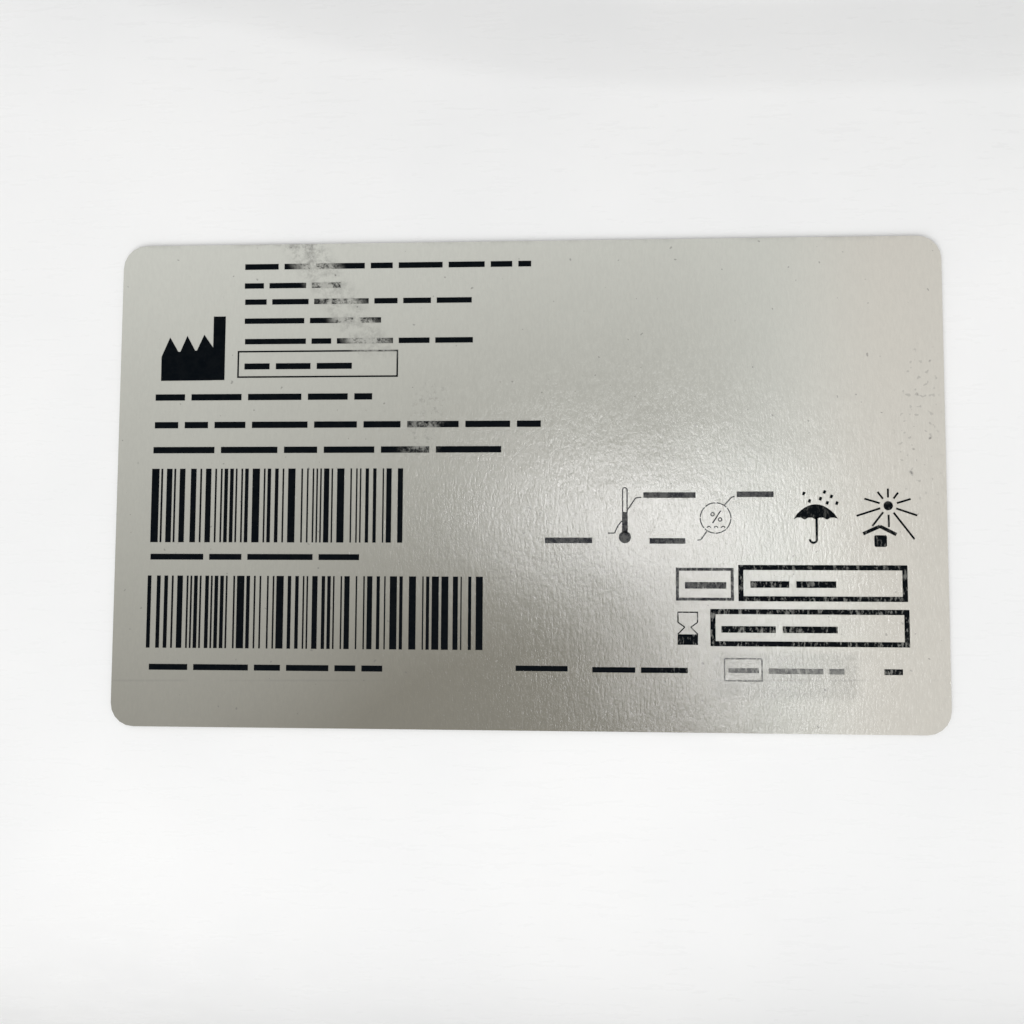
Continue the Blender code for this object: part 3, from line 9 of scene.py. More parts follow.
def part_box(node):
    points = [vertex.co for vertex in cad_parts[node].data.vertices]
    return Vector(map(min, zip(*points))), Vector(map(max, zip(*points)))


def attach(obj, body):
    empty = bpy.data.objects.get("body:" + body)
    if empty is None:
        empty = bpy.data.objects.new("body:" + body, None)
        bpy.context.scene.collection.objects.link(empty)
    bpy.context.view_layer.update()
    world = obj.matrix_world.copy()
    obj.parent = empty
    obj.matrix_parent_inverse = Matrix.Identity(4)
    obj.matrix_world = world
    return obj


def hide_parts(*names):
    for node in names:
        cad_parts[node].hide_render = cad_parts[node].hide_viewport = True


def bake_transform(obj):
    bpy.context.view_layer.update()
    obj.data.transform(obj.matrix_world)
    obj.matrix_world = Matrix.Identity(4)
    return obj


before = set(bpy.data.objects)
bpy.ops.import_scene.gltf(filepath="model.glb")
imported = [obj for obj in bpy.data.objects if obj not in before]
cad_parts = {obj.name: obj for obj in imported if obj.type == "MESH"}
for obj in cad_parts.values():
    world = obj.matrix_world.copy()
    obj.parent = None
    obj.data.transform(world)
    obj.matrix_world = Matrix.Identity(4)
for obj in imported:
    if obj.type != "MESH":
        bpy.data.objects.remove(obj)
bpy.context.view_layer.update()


# The view. The camera looks almost straight down on the label from 16 cm, a little from its lower right, as
# the photo does. Light comes from a white room, a broad soft lamp overhead, and the two panes of a window
# that gleam on the label's film.
label_low, label_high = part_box("pack_label")
label_middle = (label_low + label_high) / 2
label_top = label_high.z
label_spot = Vector((label_middle.x, label_middle.y, label_top))
CAMERA_FROM_LABEL = Vector((0.008305, -0.016229, 0.159503))
CAMERA_TURN = (math.radians(4.358), math.radians(3.491), math.radians(0.282))
CAMERA_LENS = 41.43  # millimetres
CAMERA_SENSOR = 36
lens = bpy.data.cameras.new("camera")
lens.lens = CAMERA_LENS
lens.sensor_width = CAMERA_SENSOR
lens.clip_start = 0.005
camera = bpy.data.objects.new("camera", lens)
bpy.context.scene.collection.objects.link(camera)
camera.location = label_spot + CAMERA_FROM_LABEL
camera.rotation_euler = CAMERA_TURN
bpy.context.scene.camera = camera
bpy.context.scene.view_settings.view_transform = "Standard"


def soft_lamp(name, place, target, width, height, power):
    """A rectangular studio lamp that faces its target."""
    light = bpy.data.lights.new(name, "AREA")
    light.shape = "RECTANGLE"
    light.size = width
    light.size_y = height
    light.energy = power
    lamp = bpy.data.objects.new(name, light)
    bpy.context.scene.collection.objects.link(lamp)
    lamp.location = place
    lamp.rotation_euler = (Vector(target) - Vector(place)).to_track_quat("-Z", "Y").to_euler()


OVERHEAD_PLACE = (-0.35, -1.10, 1.15)
OVERHEAD_SIDE = 1.4
OVERHEAD_POWER = 15.0  # watts
WINDOW_HEIGHT = 1.0  # of the panes above the label
soft_lamp("overhead_lamp", OVERHEAD_PLACE, (0, 0, 0), OVERHEAD_SIDE, OVERHEAD_SIDE, OVERHEAD_POWER)
for name, aside, width, height, power in (
    ("window_row", (0.057, 0.070), 0.215, 0.071, 0.47),
    ("window_column", (0.130, -0.024), 0.071, 0.258, 0.55),
):
    pane = Vector((label_middle.x + aside[0], label_middle.y + aside[1], label_top + WINDOW_HEIGHT))
    soft_lamp(name, pane, pane - Vector((0, 0, 1)), width, height, power)


# Shader maths for every finish below. A Tone is one output of a material's nodes, and sums on it add Math
# nodes. A Finish is one material: its Principled shader, and one method that adds any other node.
class Tone:
    def __init__(self, finish, socket):
        self.finish = finish
        self.socket = socket

    def reckon(self, operation, *values):
        return self.finish.node("ShaderNodeMath", {"operation": operation}, dict(enumerate(values)))

    def __add__(self, other):
        return self.reckon("ADD", self, other)

    def __sub__(self, other):
        return self.reckon("SUBTRACT", self, other)

    def __rsub__(self, other):
        return self.reckon("SUBTRACT", other, self)

    def __mul__(self, other):
        return self.reckon("MULTIPLY", self, other)

    __radd__ = __add__
    __rmul__ = __mul__

    def root(self):
        return self.reckon("SQRT", self)

    def ramp(self, low, high, start=0.0, end=1.0):
        """Goes smoothly from start to end as the tone goes from low to high, and stays there."""
        values = {"Value": self, "From Min": low, "From Max": high, "To Min": start, "To Max": end}
        return self.finish.node("ShaderNodeMapRange", {"interpolation_type": "SMOOTHSTEP"}, values)

    def between(self, low, high, soft):
        """1 where the tone lies between low and high, with soft ends."""
        return self.ramp(low - soft, low + soft) * self.ramp(high - soft, high + soft, 1.0, 0.0)


class Finish:
    def __init__(self, name, colour, roughness, metallic=0.0, **more):
        self.material = bpy.data.materials.new(name)
        self.material.use_nodes = True
        self.tree = self.material.node_tree
        self.shader = self.tree.nodes["Principled BSDF"]
        self.set("Base Color", colour)
        self.set("Roughness", roughness)
        self.set("Metallic", metallic)
        for key, value in more.items():
            self.set(key.replace("_", " ").title().replace("Ior", "IOR"), value)

    def feed(self, socket, value):
        if isinstance(value, Tone):
            self.tree.links.new(value.socket, socket)
        elif socket.type == "RGBA":
            socket.default_value = (*value, 1.0)
        else:
            socket.default_value = value

    def set(self, name, value):
        self.feed(self.shader.inputs[name], value)

    def node(self, kind, settings=None, sockets=None, output=0):
        made = self.tree.nodes.new(kind)
        for key, value in (settings or {}).items():
            setattr(made, key, value)
        for key, value in (sockets or {}).items():
            self.feed(made.inputs[key], value)
        return Tone(self, made.outputs[output])

    def place(self):
        """Where a point is on its piece, which it keeps as the piece moves."""
        return self.node("ShaderNodeTexCoord", output="Object")

    def axis(self, name):
        return self.node("ShaderNodeSeparateXYZ", sockets={"Vector": self.place()}, output=name)

    def stretched(self, x, y, z):
        return self.node("ShaderNodeVectorMath", {"operation": "MULTIPLY"}, {0: self.place(), 1: (x, y, z)})

    def noise(self, size, detail=3.0, rough=0.55, place=None):
        """Cloudy noise from 0 to 1, with patches of about that size in metres."""
        values = {"Vector": place or self.place(), "Scale": 1 / size, "Detail": detail, "Roughness": rough}
        return self.node("ShaderNodeTexNoise", {"noise_dimensions": "3D"}, values)

    def cells(self, size):
        """Distance from the nearest of many scattered points."""
        values = {"Vector": self.place(), "Scale": 1 / size}
        return self.node("ShaderNodeTexVoronoi", {"feature": "F1"}, values, "Distance")

    def mix(self, factor, first, second):
        """The first colour where the factor is 0, and the second where it is 1."""
        return self.node("ShaderNodeMix", {"data_type": "RGBA"}, {0: factor, 6: first, 7: second}, 2)

    def bump(self, height, depth, strength=1.0):
        """Raises the surface by height times depth, in metres."""
        values = {"Height": height, "Distance": depth, "Strength": strength}
        self.set("Normal", self.node("ShaderNodeBump", sockets=values))

    def uneven(self, low, high, size, detail=2.0, rough=0.55, start=0.3):
        """Lets the roughness wander from low to high in cloudy patches."""
        self.set("Roughness", self.noise(size, detail, rough).ramp(start, 0.7, low, high))


def dress(finish, *nodes):
    """Gives CAD nodes that finish."""
    for name in nodes:
        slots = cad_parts[name].material_slots
        for k in range(len(slots)):
            slots[k].link = "OBJECT"
            slots[k].material = finish.material


# The table and the room. A matt white table top takes the tray's shadow, and fades into the white room
# around it.
TABLE_HALF = 1.2
TABLE_FADE = (0.36, 1.05)  # from the middle, in metres
TABLE_DROP = 0.0002  # under the tray's foot
ROOM_LIGHT = 0.56  # strength of the room as a lamp
ROOM_SEEN = 1.0  # and as it is seen
white_table = Finish("white_table", (0.88, 0.88, 0.88), 0.9)
table_x, table_y = white_table.axis("X"), white_table.axis("Y")
from_middle = (table_x * table_x + table_y * table_y).root()
white_table.set("Alpha", from_middle.ramp(*TABLE_FADE, 1.0, 0.0))
white_table.uneven(0.86, 0.94, 0.03)
table_mesh = bpy.data.meshes.new("table_top")
table_shape = bmesh.new()
bmesh.ops.create_grid(table_shape, x_segments=1, y_segments=1, size=TABLE_HALF)
table_shape.to_mesh(table_mesh)
table_shape.free()
table_mesh.materials.append(white_table.material)
table_top = bpy.data.objects.new("table_top", table_mesh)
bpy.context.scene.collection.objects.link(table_top)
table_top.location.z = -TABLE_DROP
room = bpy.data.worlds.new("room")
room.use_nodes = True
bpy.context.scene.world = room
room_nodes = room.node_tree.nodes
room_links = room.node_tree.links
room_light = room_nodes["Background"]
room_light.inputs["Strength"].default_value = ROOM_LIGHT
room_white = room_nodes.new("ShaderNodeBackground")
room_white.inputs["Strength"].default_value = ROOM_SEEN
for shade in (room_light, room_white):
    shade.inputs["Color"].default_value = (1, 1, 1, 1)
rays = room_nodes.new("ShaderNodeLightPath")
seen = rays.outputs["Is Camera Ray"]
for kind in ("Is Glossy Ray", "Is Transmission Ray"):
    either = room_nodes.new("ShaderNodeMath")
    either.operation = "MAXIMUM"
    room_links.new(seen, either.inputs[0])
    room_links.new(rays.outputs[kind], either.inputs[1])
    seen = either.outputs[0]
room_choice = room_nodes.new("ShaderNodeMixShader")
room_links.new(seen, room_choice.inputs[0])
room_links.new(room_light.outputs[0], room_choice.inputs[1])
room_links.new(room_white.outputs[0], room_choice.inputs[2])
room_links.new(room_choice.outputs[0], room_nodes["World Output"].inputs[0])


# The packing tray is one vacuum-formed sheet of white plastic. The sheet is glossy where it touched
# nothing, with faint pull marks on its drafted walls and hair scratches on its floor.
formed_sheet = Finish("formed_sheet", (0.90, 0.90, 0.89), 0.30, Specular_IOR_Level=0.35)
sheet_cloud = formed_sheet.noise(0.05, 3.0)
formed_sheet.set(
    "Base Color", formed_sheet.mix(sheet_cloud.ramp(0.3, 0.7), (0.885, 0.888, 0.885), (0.925, 0.925, 0.918))
)
sheet_scuff = formed_sheet.noise(0.0012, 4.0, 0.7, formed_sheet.stretched(0.15, 1.0, 1.0))
formed_sheet.set("Roughness", sheet_scuff.ramp(0.35, 0.75, 0.26, 0.46))
formed_sheet.bump(formed_sheet.noise(0.018, 2.0) + sheet_scuff * 0.04, 0.00035, 0.35)
dress(formed_sheet, "tray")


# The label is a grey-white film with rounded corners, stuck on the tray's floor. A shadow is painted on it,
# darkest towards the bottom left, with painted light at its right edge. It is darker along its top edge,
# smeared and scuffed, and its fine fibrous grain sparkles where the window shines on it.
MM = 1000  # millimetres in a metre; every place on the label is in millimetres


def label_place(finish):
    """Millimetres across and down the label, from its top left corner."""
    return (finish.axis("X") - label_low.x) * MM, (label_high.y - finish.axis("Y")) * MM


def smear_place(x, y):
    """The smear that runs down and to the right from the top edge."""
    return (x - y * 0.68).between(22.6, 28.2, 1.4) * y.between(-2.0, 15.5, 1.6)


def scuff_place(x, y):
    """The rubbed band beside the ends of the middle lines."""
    return (x + y * 0.22).between(46.4, 50.6, 1.4) * y.between(19.5, 30.0, 2.0)


film_label = Finish("film_label", (0.58, 0.59, 0.53), 0.16, Specular_IOR_Level=1.0)
film_x, film_y = label_place(film_label)
film_cloud = film_label.noise(0.022, 4.0, 0.6)
film_fibre = film_label.noise(0.00028, 3.0, 0.60, film_label.stretched(1.0, 0.30, 1.0))
film_grain = film_label.noise(0.0007, 4.0, 0.8)
# Painted shadow: darker down the film and in its lower middle, fading out to the right, with a cloudy mottle.
shadow_and_mottle = film_y * film_x.ramp(5, 56, 0.0118, 0.0165) + film_x.ramp(10, 60, 0.0, 0.07)
shadow_and_mottle = shadow_and_mottle * film_x.ramp(70, 102, 1.0, 0.02) + (film_cloud - 0.5) * 0.07
film_colour = film_label.mix(shadow_and_mottle, (0.555, 0.559, 0.505), (0.152, 0.140, 0.104))
# Painted light: lighter and warmer towards the right edge, where the painted shadow ends.
film_colour = film_label.mix(film_x.ramp(88, 107, 0.0, 0.85), film_colour, (0.590, 0.559, 0.495))
# Darker along the top edge, in patches, and most between 19 and 34 mm across.
top_edge_dark = film_y.ramp(0.0, 0.7, 0.5, 0.0) * film_label.noise(0.006, 4.0, 0.8).ramp(0.44, 0.66)
top_edge_dark = top_edge_dark * film_x.between(19, 34, 9.0).ramp(0.0, 1.0, 0.35, 1.0)
smear_dirt = smear_place(film_x, film_y) * film_label.noise(0.0016, 5.0, 0.75).ramp(0.40, 0.66)
smear_dirt = smear_dirt * film_y.ramp(0.0, 6.0, 0.60, 0.34)
scuff_dirt = scuff_place(film_x, film_y) * film_grain.ramp(0.50, 0.68)
# Painted shade in a crease: a thin darker line along a fold near the bottom.
fold_shade = (film_y + film_x * 0.009).between(60.70, 60.95, 0.10)
fold_shade = fold_shade * film_label.noise(0.012, 3.0).ramp(0.42, 0.60)
code_dirt = film_x.between(82.0, 101.0, 0.9) * film_y.between(56.4, 62.5, 0.8)
code_dirt = code_dirt * film_grain.ramp(0.36, 0.66, 0.45, 1.0)
right_specks = film_x.between(106.5, 112.0, 1.4) * film_y.between(16.0, 36.0, 3.0)
stray_specks = film_label.noise(0.0008, 1.0, 0.5)
specks = stray_specks.ramp(0.750, 0.780) + right_specks * stray_specks.ramp(0.645, 0.69) * 0.6
# Real dirt, smears, scuffs and specks, with the darker top edge and the painted crease shade.
dirt_and_shade = top_edge_dark + smear_dirt + scuff_dirt * 0.30 + fold_shade * 0.14 + code_dirt * 0.26 + specks * 0.45
film_colour = film_label.mix(dirt_and_shade, film_colour, (0.085, 0.082, 0.075))
film_colour = film_label.mix(film_fibre.ramp(0.3, 0.7, 0.05, 0.0), film_colour, (0.10, 0.10, 0.10))
film_label.set("Base Color", film_colour)
film_label.set("Roughness", film_fibre.ramp(0.30, 0.70, 0.09, 0.17) + smear_dirt * 0.2)
film_label.bump(film_fibre * 0.8 + film_grain * 0.5 + film_cloud * 4.0, 0.000030, 0.9)
dress(film_label, "pack_label")


INK_RISE = 0.00003  # of every print above its ground


def on_label(x, y):
    """A point of the label's print, in millimetres from its top left corner, just above the film."""
    return (label_low.x + x / MM, label_high.y - y / MM, label_top + INK_RISE)


class Print:
    """Flat inked shapes, gathered in one mesh. Sizes are in millimetres on the printed face, y downwards."""

    def __init__(self, place):
        self.shape = bmesh.new()
        self.place = place

    def area(self, points):
        self.shape.faces.new([self.shape.verts.new(self.place(x, y)) for x, y in reversed(points)])

    def bar(self, left, top, right, bottom):
        self.area([(left, top), (right, top), (right, bottom), (left, bottom)])

    def box(self, left, top, right, bottom, line):
        self.bar(left, top, right, top + line)
        self.bar(left, bottom - line, right, bottom)
        self.bar(left, top + line, left + line, bottom - line)
        self.bar(right - line, top + line, right, bottom - line)

    def stroke(self, line, *points):
        """A pen line through those points."""
        for (x0, y0), (x1, y1) in zip(points, points[1:]):
            reach = math.hypot(x1 - x0, y1 - y0)
            nx, ny = -(y1 - y0) / reach * line / 2, (x1 - x0) / reach * line / 2
            self.area([(x0 + nx, y0 + ny), (x0 - nx, y0 - ny), (x1 - nx, y1 - ny), (x1 + nx, y1 + ny)])

    def ring(self, x, y, radius, line, start=0.0, end=360.0):
        steps = max(6, round(28 * (end - start) / 360))
        outer, inner = [], []
        for k in range(steps + 1):
            angle = math.radians(start + (end - start) * k / steps)
            outer.append((x + radius * math.cos(angle), y + radius * math.sin(angle)))
            inner.append((x + (radius - line) * math.cos(angle), y + (radius - line) * math.sin(angle)))
        for k in range(steps):
            self.area([outer[k], inner[k], inner[k + 1], outer[k + 1]])

    def disc(self, x, y, radius):
        angles = [-2 * math.pi * k / 24 for k in range(24)]
        self.area([(x + radius * math.cos(angle), y + radius * math.sin(angle)) for angle in angles])

    def finish(self, name, ink, body, slot):
        mesh = bpy.data.meshes.new(name)
        self.shape.to_mesh(mesh)
        self.shape.free()
        mesh.materials.append(ink.material)
        piece = bpy.data.objects.new(name, mesh)
        bpy.context.scene.collection.objects.link(piece)
        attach(piece, body)


# The label's print is bluish black resin from a ribbon printer. It lets the film show through where it was
# rubbed: in the smear, in the scuffed band, and along the lower right.
def ribbon_ink(name, colour, rubbed):
    ink = Finish(name, colour, 0.42, Specular_IOR_Level=0.02)
    x, y = label_place(ink)
    rub = ink.noise(0.0011, 5.0, 0.8)
    scratches = ink.noise(0.0005, 3.0, 0.7, ink.stretched(1.0, 0.4, 1.0))
    low_right = x.ramp(72, 84) * y.ramp(30, 52)
    worn = smear_place(x, y) * 1.1 * rub.ramp(0.34, 0.60) + scuff_place(x, y) * 0.6 * rub.ramp(0.40, 0.62)
    worn = worn + low_right * scratches.ramp(0.50, 0.66) * 0.45 + rub.ramp(0.36, 0.62) * rubbed
    ink.set("Base Color", ink.mix(worn, colour, (0.42, 0.42, 0.385)))
    ink.set("Roughness", rub.ramp(0.3, 0.7, 0.34, 0.50))
    return ink


black_ink = ribbon_ink("black_ink", (0.0012, 0.0025, 0.0040), 0.005)
thin_ink = ribbon_ink("thin_ink", (0.026, 0.027, 0.032), 0.20)
faint_ink = ribbon_ink("faint_ink", (0.12, 0.12, 0.12), 0.40)
chance = random.Random(7)
WORD_SHARE = 0.40  # height of a word's bar in that of its line
WORD_GAP = 0.42
WORD_LENGTHS = (1.3, 4.6)


def word_bars(sheet, left, middle, right, height):
    """A line of plain bars, as uneven in length as the parts of a printed line."""
    half = height * WORD_SHARE / 2
    at = left
    while at < right:
        end = min(at + height * chance.uniform(*WORD_LENGTHS), right)
        if right - end < height * WORD_LENGTHS[0]:
            end = right
        sheet.bar(at, middle - half, end, middle + half)
        at = end + height * WORD_GAP


def bar_code(sheet, left, top, right, bottom, modules):
    """Upright bars of one to four modules. The widths are drawn by chance, so they code nothing."""
    module = (right - left) / modules
    at = 0
    while at < modules:
        bar = min(chance.choice((1, 1, 1, 2, 2, 3, 4)), modules - at)
        if modules - at - bar < 3:
            bar = modules - at
        sheet.bar(left + at * module, top, left + (at + bar) * module * 0.998, bottom)
        at += bar + chance.choice((1, 1, 2, 2, 3))


heavy_print = Print(on_label)
for left, middle, right, height in (
    (17.4, 3.2, 57.5, 2.0),
    (17.4, 5.9, 31.0, 1.9),
    (17.5, 8.2, 49.3, 1.9),
    (17.5, 10.9, 36.7, 1.9),
    (17.6, 13.8, 49.5, 1.9),
    (17.6, 17.3, 32.7, 2.1),
    (5.1, 21.6, 35.6, 2.2),
    (5.1, 25.5, 58.9, 2.2),
    (5.0, 29.0, 53.5, 2.2),
    (5.0, 43.8, 34.1, 2.0),
    (5.2, 58.9, 37.5, 2.0),
    (55.6, 58.7, 62.6, 1.8),
    (65.9, 58.8, 78.6, 1.8),
    (87.0, 47.3, 98.3, 2.2),
    (83.1, 53.3, 98.4, 2.2),
    (104.4, 58.8, 106.8, 1.9),
):
    word_bars(heavy_print, left, middle, right, height)
heavy_print.box(16.6, 15.1, 39.15, 18.9, 0.22)
bar_code(heavy_print, 4.9, 31.6, 40.1, 41.8, 134)
bar_code(heavy_print, 4.7, 46.4, 51.2, 56.3, 178)

# Works symbol: a solid block under three pointed roofs, with a chimney.
heavy_print.bar(13.1, 10.2, 14.8, 19.2)
roofs = [(13.1, 19.22), (5.8, 19.25), (5.78, 15.85), (6.95, 13.1), (8.15, 15.15), (8.45, 15.15), (9.4, 12.9),
         (10.55, 15.0), (10.8, 15.0), (11.8, 12.75), (13.1, 14.6)]
heavy_print.area(roofs)

# Boxed fields at the lower right, and the hourglass beside the second.
heavy_print.box(85.4, 44.7, 107.65, 49.55, 0.68)
heavy_print.box(81.65, 50.6, 107.8, 55.55, 0.68)
heavy_print.bar(77.3, 54.0, 80.0, 55.4)
glass = ((1.3, 51.0), (1.3, 52.4), (0.4, 53.05), (1.35, 54.0))
for side in (-1, 1):
    heavy_print.stroke(0.16, *[(78.65 + side * across, y) for across, y in glass])
heavy_print.stroke(0.16, (77.3, 51.05), (80.0, 51.05))

# Keep dry: an umbrella under drops.
DROPS = ((96.95, 34.9), (97.85, 35.5), (96.4, 35.8), (94.95, 36.1), (97.3, 36.35), (98.55, 36.4),
         (94.2, 35.1))
for x, y in DROPS:
    heavy_print.stroke(0.36, (x + 0.08, y - 0.22), (x - 0.08, y + 0.22))
canopy = [(92.8 + 5.9 * k / 12, 38.55 - 2.0 * math.sin(math.pi * k / 12) ** 0.75) for k in range(13)]
hem = [(98.7 - 5.9 * k / 12, 38.62 - 0.32 * abs(math.sin(math.pi * k / 3))) for k in range(1, 12)]
heavy_print.area(list(reversed(canopy + hem)))
heavy_print.stroke(0.32, (95.85, 38.3), (95.85, 41.3))
heavy_print.ring(95.4, 41.25, 0.61, 0.30, 0, 180)

# Keep out of the sun: a rayed disc over a roofed block. A ray has its angle, and where it starts and ends.
SUN = (105.3, 36.75)
heavy_print.disc(*SUN, 0.62)
RAYS = ((-90, 1.1, 2.3), (-53, 1.2, 2.2), (-17, 1.2, 3.1), (19, 1.1, 4.0), (53, 1.15, 5.6),
        (89, 1.2, 2.85), (128, 1.1, 3.45), (162, 1.1, 4.4), (197, 1.15, 3.25), (234, 1.15, 2.3))
for angle, *reaches in RAYS:
    along, down = math.cos(math.radians(angle)), math.sin(math.radians(angle))
    heavy_print.stroke(0.26, *[(SUN[0] + reach * along, SUN[1] + reach * down) for reach in reaches])
heavy_print.stroke(0.46, (101.95, 40.5), (104.16, 39.5), (106.3, 40.6))
block = [(103.4, 40.85), (103.55, 40.7), (104.9, 40.7), (105.05, 40.85), (105.05, 42.1), (104.9, 42.25),
         (103.55, 42.25), (103.4, 42.1)]
heavy_print.area(block)
heavy_print.finish("label_print", black_ink, "tray", "label_film")

# Storage limits, in thinner print: a thermometer and a moisture dial, each with a line to its two limits.
fine_print = Print(on_label)
THERMOMETER = 70.3
for side in (-1, 1):
    fine_print.stroke(0.16, (THERMOMETER + side * 0.3, 34.6), (THERMOMETER + side * 0.3, 40.5))
fine_print.ring(THERMOMETER, 34.6, 0.38, 0.16, 180, 360)
fine_print.bar(THERMOMETER - 0.22, 37.6, THERMOMETER + 0.22, 40.4)
fine_print.disc(THERMOMETER, 41.0, 0.82)
fine_print.stroke(0.16, (70.65, 37.3), (71.75, 35.7), (72.5, 35.6))
fine_print.stroke(0.16, (69.9, 38.8), (69.4, 39.4), (68.9, 40.45), (68.0, 40.45))
DIAL = (82.45, 38.4)
for start in range(0, 360, 45):
    fine_print.ring(*DIAL, 2.12, 0.15, start + 4, start + 45)
fine_print.stroke(0.16, (83.65, 36.65), (84.6, 35.6), (85.0, 35.5))
fine_print.stroke(0.16, (81.25, 40.2), (80.5, 41.3), (80.0, 41.4))
fine_print.stroke(0.17, (82.05, 39.1), (83.15, 37.4))
fine_print.ring(82.05, 37.9, 0.30, 0.15)
fine_print.ring(83.05, 38.6, 0.30, 0.15)
for k in range(3):
    fine_print.ring(81.55 + 0.95 * k, 39.75, 0.30, 0.13, 180, 360)
for left, middle, right in ((72.8, 35.3, 79.8), (59.5, 41.45, 65.9), (85.3, 35.2, 90.2), (73.6, 41.5, 78.4)):
    word_bars(fine_print, left, middle, right, 1.9)
fine_print.box(77.1, 45.1, 84.8, 49.5, 0.40)
word_bars(fine_print, 78.3, 47.45, 83.8, 2.2)
fine_print.finish("label_limits", thin_ink, "tray", "label_film")

pale_print = Print(on_label)
pale_print.box(83.4, 57.1, 88.5, 60.2, 0.17)
word_bars(pale_print, 84.0, 58.75, 88.0, 1.6)
word_bars(pale_print, 89.3, 58.8, 99.2, 1.8)
pale_print.finish("label_worn_print", faint_ink, "tray", "label_film")


# The foam supports are closed-cell white foam, cut from plank and glued on the tray's floor. Their edges
# are soft, the cut cells show as fine pores, and open notches hold the shaft and the head.
TRIGGER_SPOT = (0.038, -0.0175)  # the trigger's pin from the instrument's own origin
pin_low, pin_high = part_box("trigger_pin")
pin_middle = (pin_low + pin_high) / 2
SHAFT_STRAIGHT = 0.072
BEND_RADIUS = 0.270
BEND_ANGLE = math.radians(30)
GRIP_LEAN = math.radians(17)
GRIP_X = 0.0935
GRIP_LENGTH = 0.1093
instrument_origin = (pin_middle.x - TRIGGER_SPOT[0], pin_middle.y - TRIGGER_SPOT[1], pin_middle.z)
instrument_seat = Matrix.Translation(instrument_origin)
bend_end = (-SHAFT_STRAIGHT - BEND_RADIUS * math.sin(BEND_ANGLE), BEND_RADIUS * (1 - math.cos(BEND_ANGLE)), 0)
head_seat = instrument_seat @ Matrix.Translation(bend_end) @ Matrix.Rotation(math.pi - BEND_ANGLE, 4, "Z")
battery_joint = (GRIP_X + GRIP_LENGTH * math.sin(GRIP_LEAN), -GRIP_LENGTH * math.cos(GRIP_LEAN), 0)
grip_seat = instrument_seat @ Matrix.Translation(battery_joint) @ Matrix.Rotation(GRIP_LEAN, 4, "Z")


def rounded(corners, inset=0.0, steps=8):
    """Points round a closed outline of (x, y, fillet radius) corners, moved inwards by inset."""
    points = []
    for i, (x, y, fillet) in enumerate(corners):
        before, after = corners[i - 1], corners[(i + 1) % len(corners)]
        way_in = math.atan2(y - before[1], x - before[0])
        way_out = math.atan2(after[1] - y, after[0] - x)
        turn = math.remainder(way_out - way_in, 2 * math.pi)
        middle = way_in + turn / 2
        shift = inset / math.cos(turn / 2)
        side = 1 if turn > 0 else -1
        radius = max(fillet - side * inset, 0.00015)
        reach = side * radius / math.cos(turn / 2)
        centre_x = x - (shift + reach) * math.sin(middle)
        centre_y = y + (shift + reach) * math.cos(middle)
        for k in range(steps + 1):
            angle = way_in + turn * k / steps
            across, along = side * radius * math.sin(angle), side * radius * math.cos(angle)
            points.append((centre_x + across, centre_y - along))
    return points


def skinned(loops, ring=False):
    """A closed shape over loops with as many points each, which end in caps or run round in a ring."""
    shape = bmesh.new()
    rows = [[shape.verts.new(point) for point in loop] for loop in loops]
    pairs = list(zip(rows, rows[1:]))
    if ring:
        pairs.append((rows[-1], rows[0]))
    for low, high in pairs:
        for i in range(len(low)):
            j = (i + 1) % len(low)
            shape.faces.new((low[i], low[j], high[j], high[i]))
    if not ring:
        shape.faces.new(reversed(rows[0]))
        shape.faces.new(rows[-1])
    return shape


def cushioned(corners, low, high, edge, steps=8, edge_steps=5):
    """A solid with that outline between two heights, and its upper and lower edges rounded off."""
    layers = []
    for k in range(edge_steps + 1):
        angle = math.pi / 2 * k / edge_steps
        layers.append((edge * (1 - math.cos(angle)), edge * (1 - math.sin(angle))))
    loops = []
    for inset, depth in reversed(layers):
        loops.append([(x, y, low + depth) for x, y in rounded(corners, inset, steps)])
    for inset, depth in layers:
        loops.append([(x, y, high - depth) for x, y in rounded(corners, inset, steps)])
    return skinned(loops)


def box_corners(low, high, fillet):
    return [(x, y, fillet) for x, y in (low, (high[0], low[1]), high, (low[0], high[1]))]


def fitted(name, shape, finish, body, seat, sharp=40):
    """Makes a piece from a shape drawn in its own frame, and lets it ride on a CAD body, if it has one."""
    bmesh.ops.recalc_face_normals(shape, faces=shape.faces)
    mesh = bpy.data.meshes.new(name)
    shape.to_mesh(mesh)
    shape.free()
    mesh.shade_smooth()
    mesh.set_sharp_from_angle(angle=math.radians(sharp))
    mesh.materials.append(finish.material)
    piece = bpy.data.objects.new(name, mesh)
    bpy.context.scene.collection.objects.link(piece)
    piece.matrix_world = seat
    even = piece.modifiers.new("even_shading", "WEIGHTED_NORMAL")
    even.keep_sharp = True
    bpy.context.view_layer.update()
    if body:
        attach(piece, body)
    return piece


foam = Finish("foam", (0.80, 0.80, 0.78), 0.92, Specular_IOR_Level=0.25)
foam_pores = foam.cells(0.0009)
foam_cloud = foam.noise(0.008, 3.0)
# Painted shade in the pores: the cells that the bump sinks are coloured darker.
pore_shade = foam_pores.ramp(0.05, 0.30, 0.75, 0.0)
foam.set("Base Color", foam.mix(pore_shade, (0.82, 0.82, 0.80), (0.62, 0.62, 0.60)))
foam.bump(foam_pores.ramp(0.05, 0.45) + foam_cloud * 0.8, 0.0003, 0.6)
FOAM_EDGE = 0.0012
HEAD_NOTCH = 0.0118
SHAFT_NOTCH = 0.0063
FOAM_FLOOR = -0.0352  # the tray's floor from the instrument's axis
FOAM_SHOULDER = 0.005
CASING_UNDER = -0.0193
HEAD_BLOCK = (0.021, 0.017, 0.035)  # half its width, and where it starts and ends on the head's axis
SHAFT_BLOCK = (0.016, -0.030, -0.014)
BARREL_BLOCK = ((0.086, -0.014), (0.138, 0.010))  # two opposite corners
GRIP_BLOCK = ((-0.010, 0.010), (0.010, 0.048))


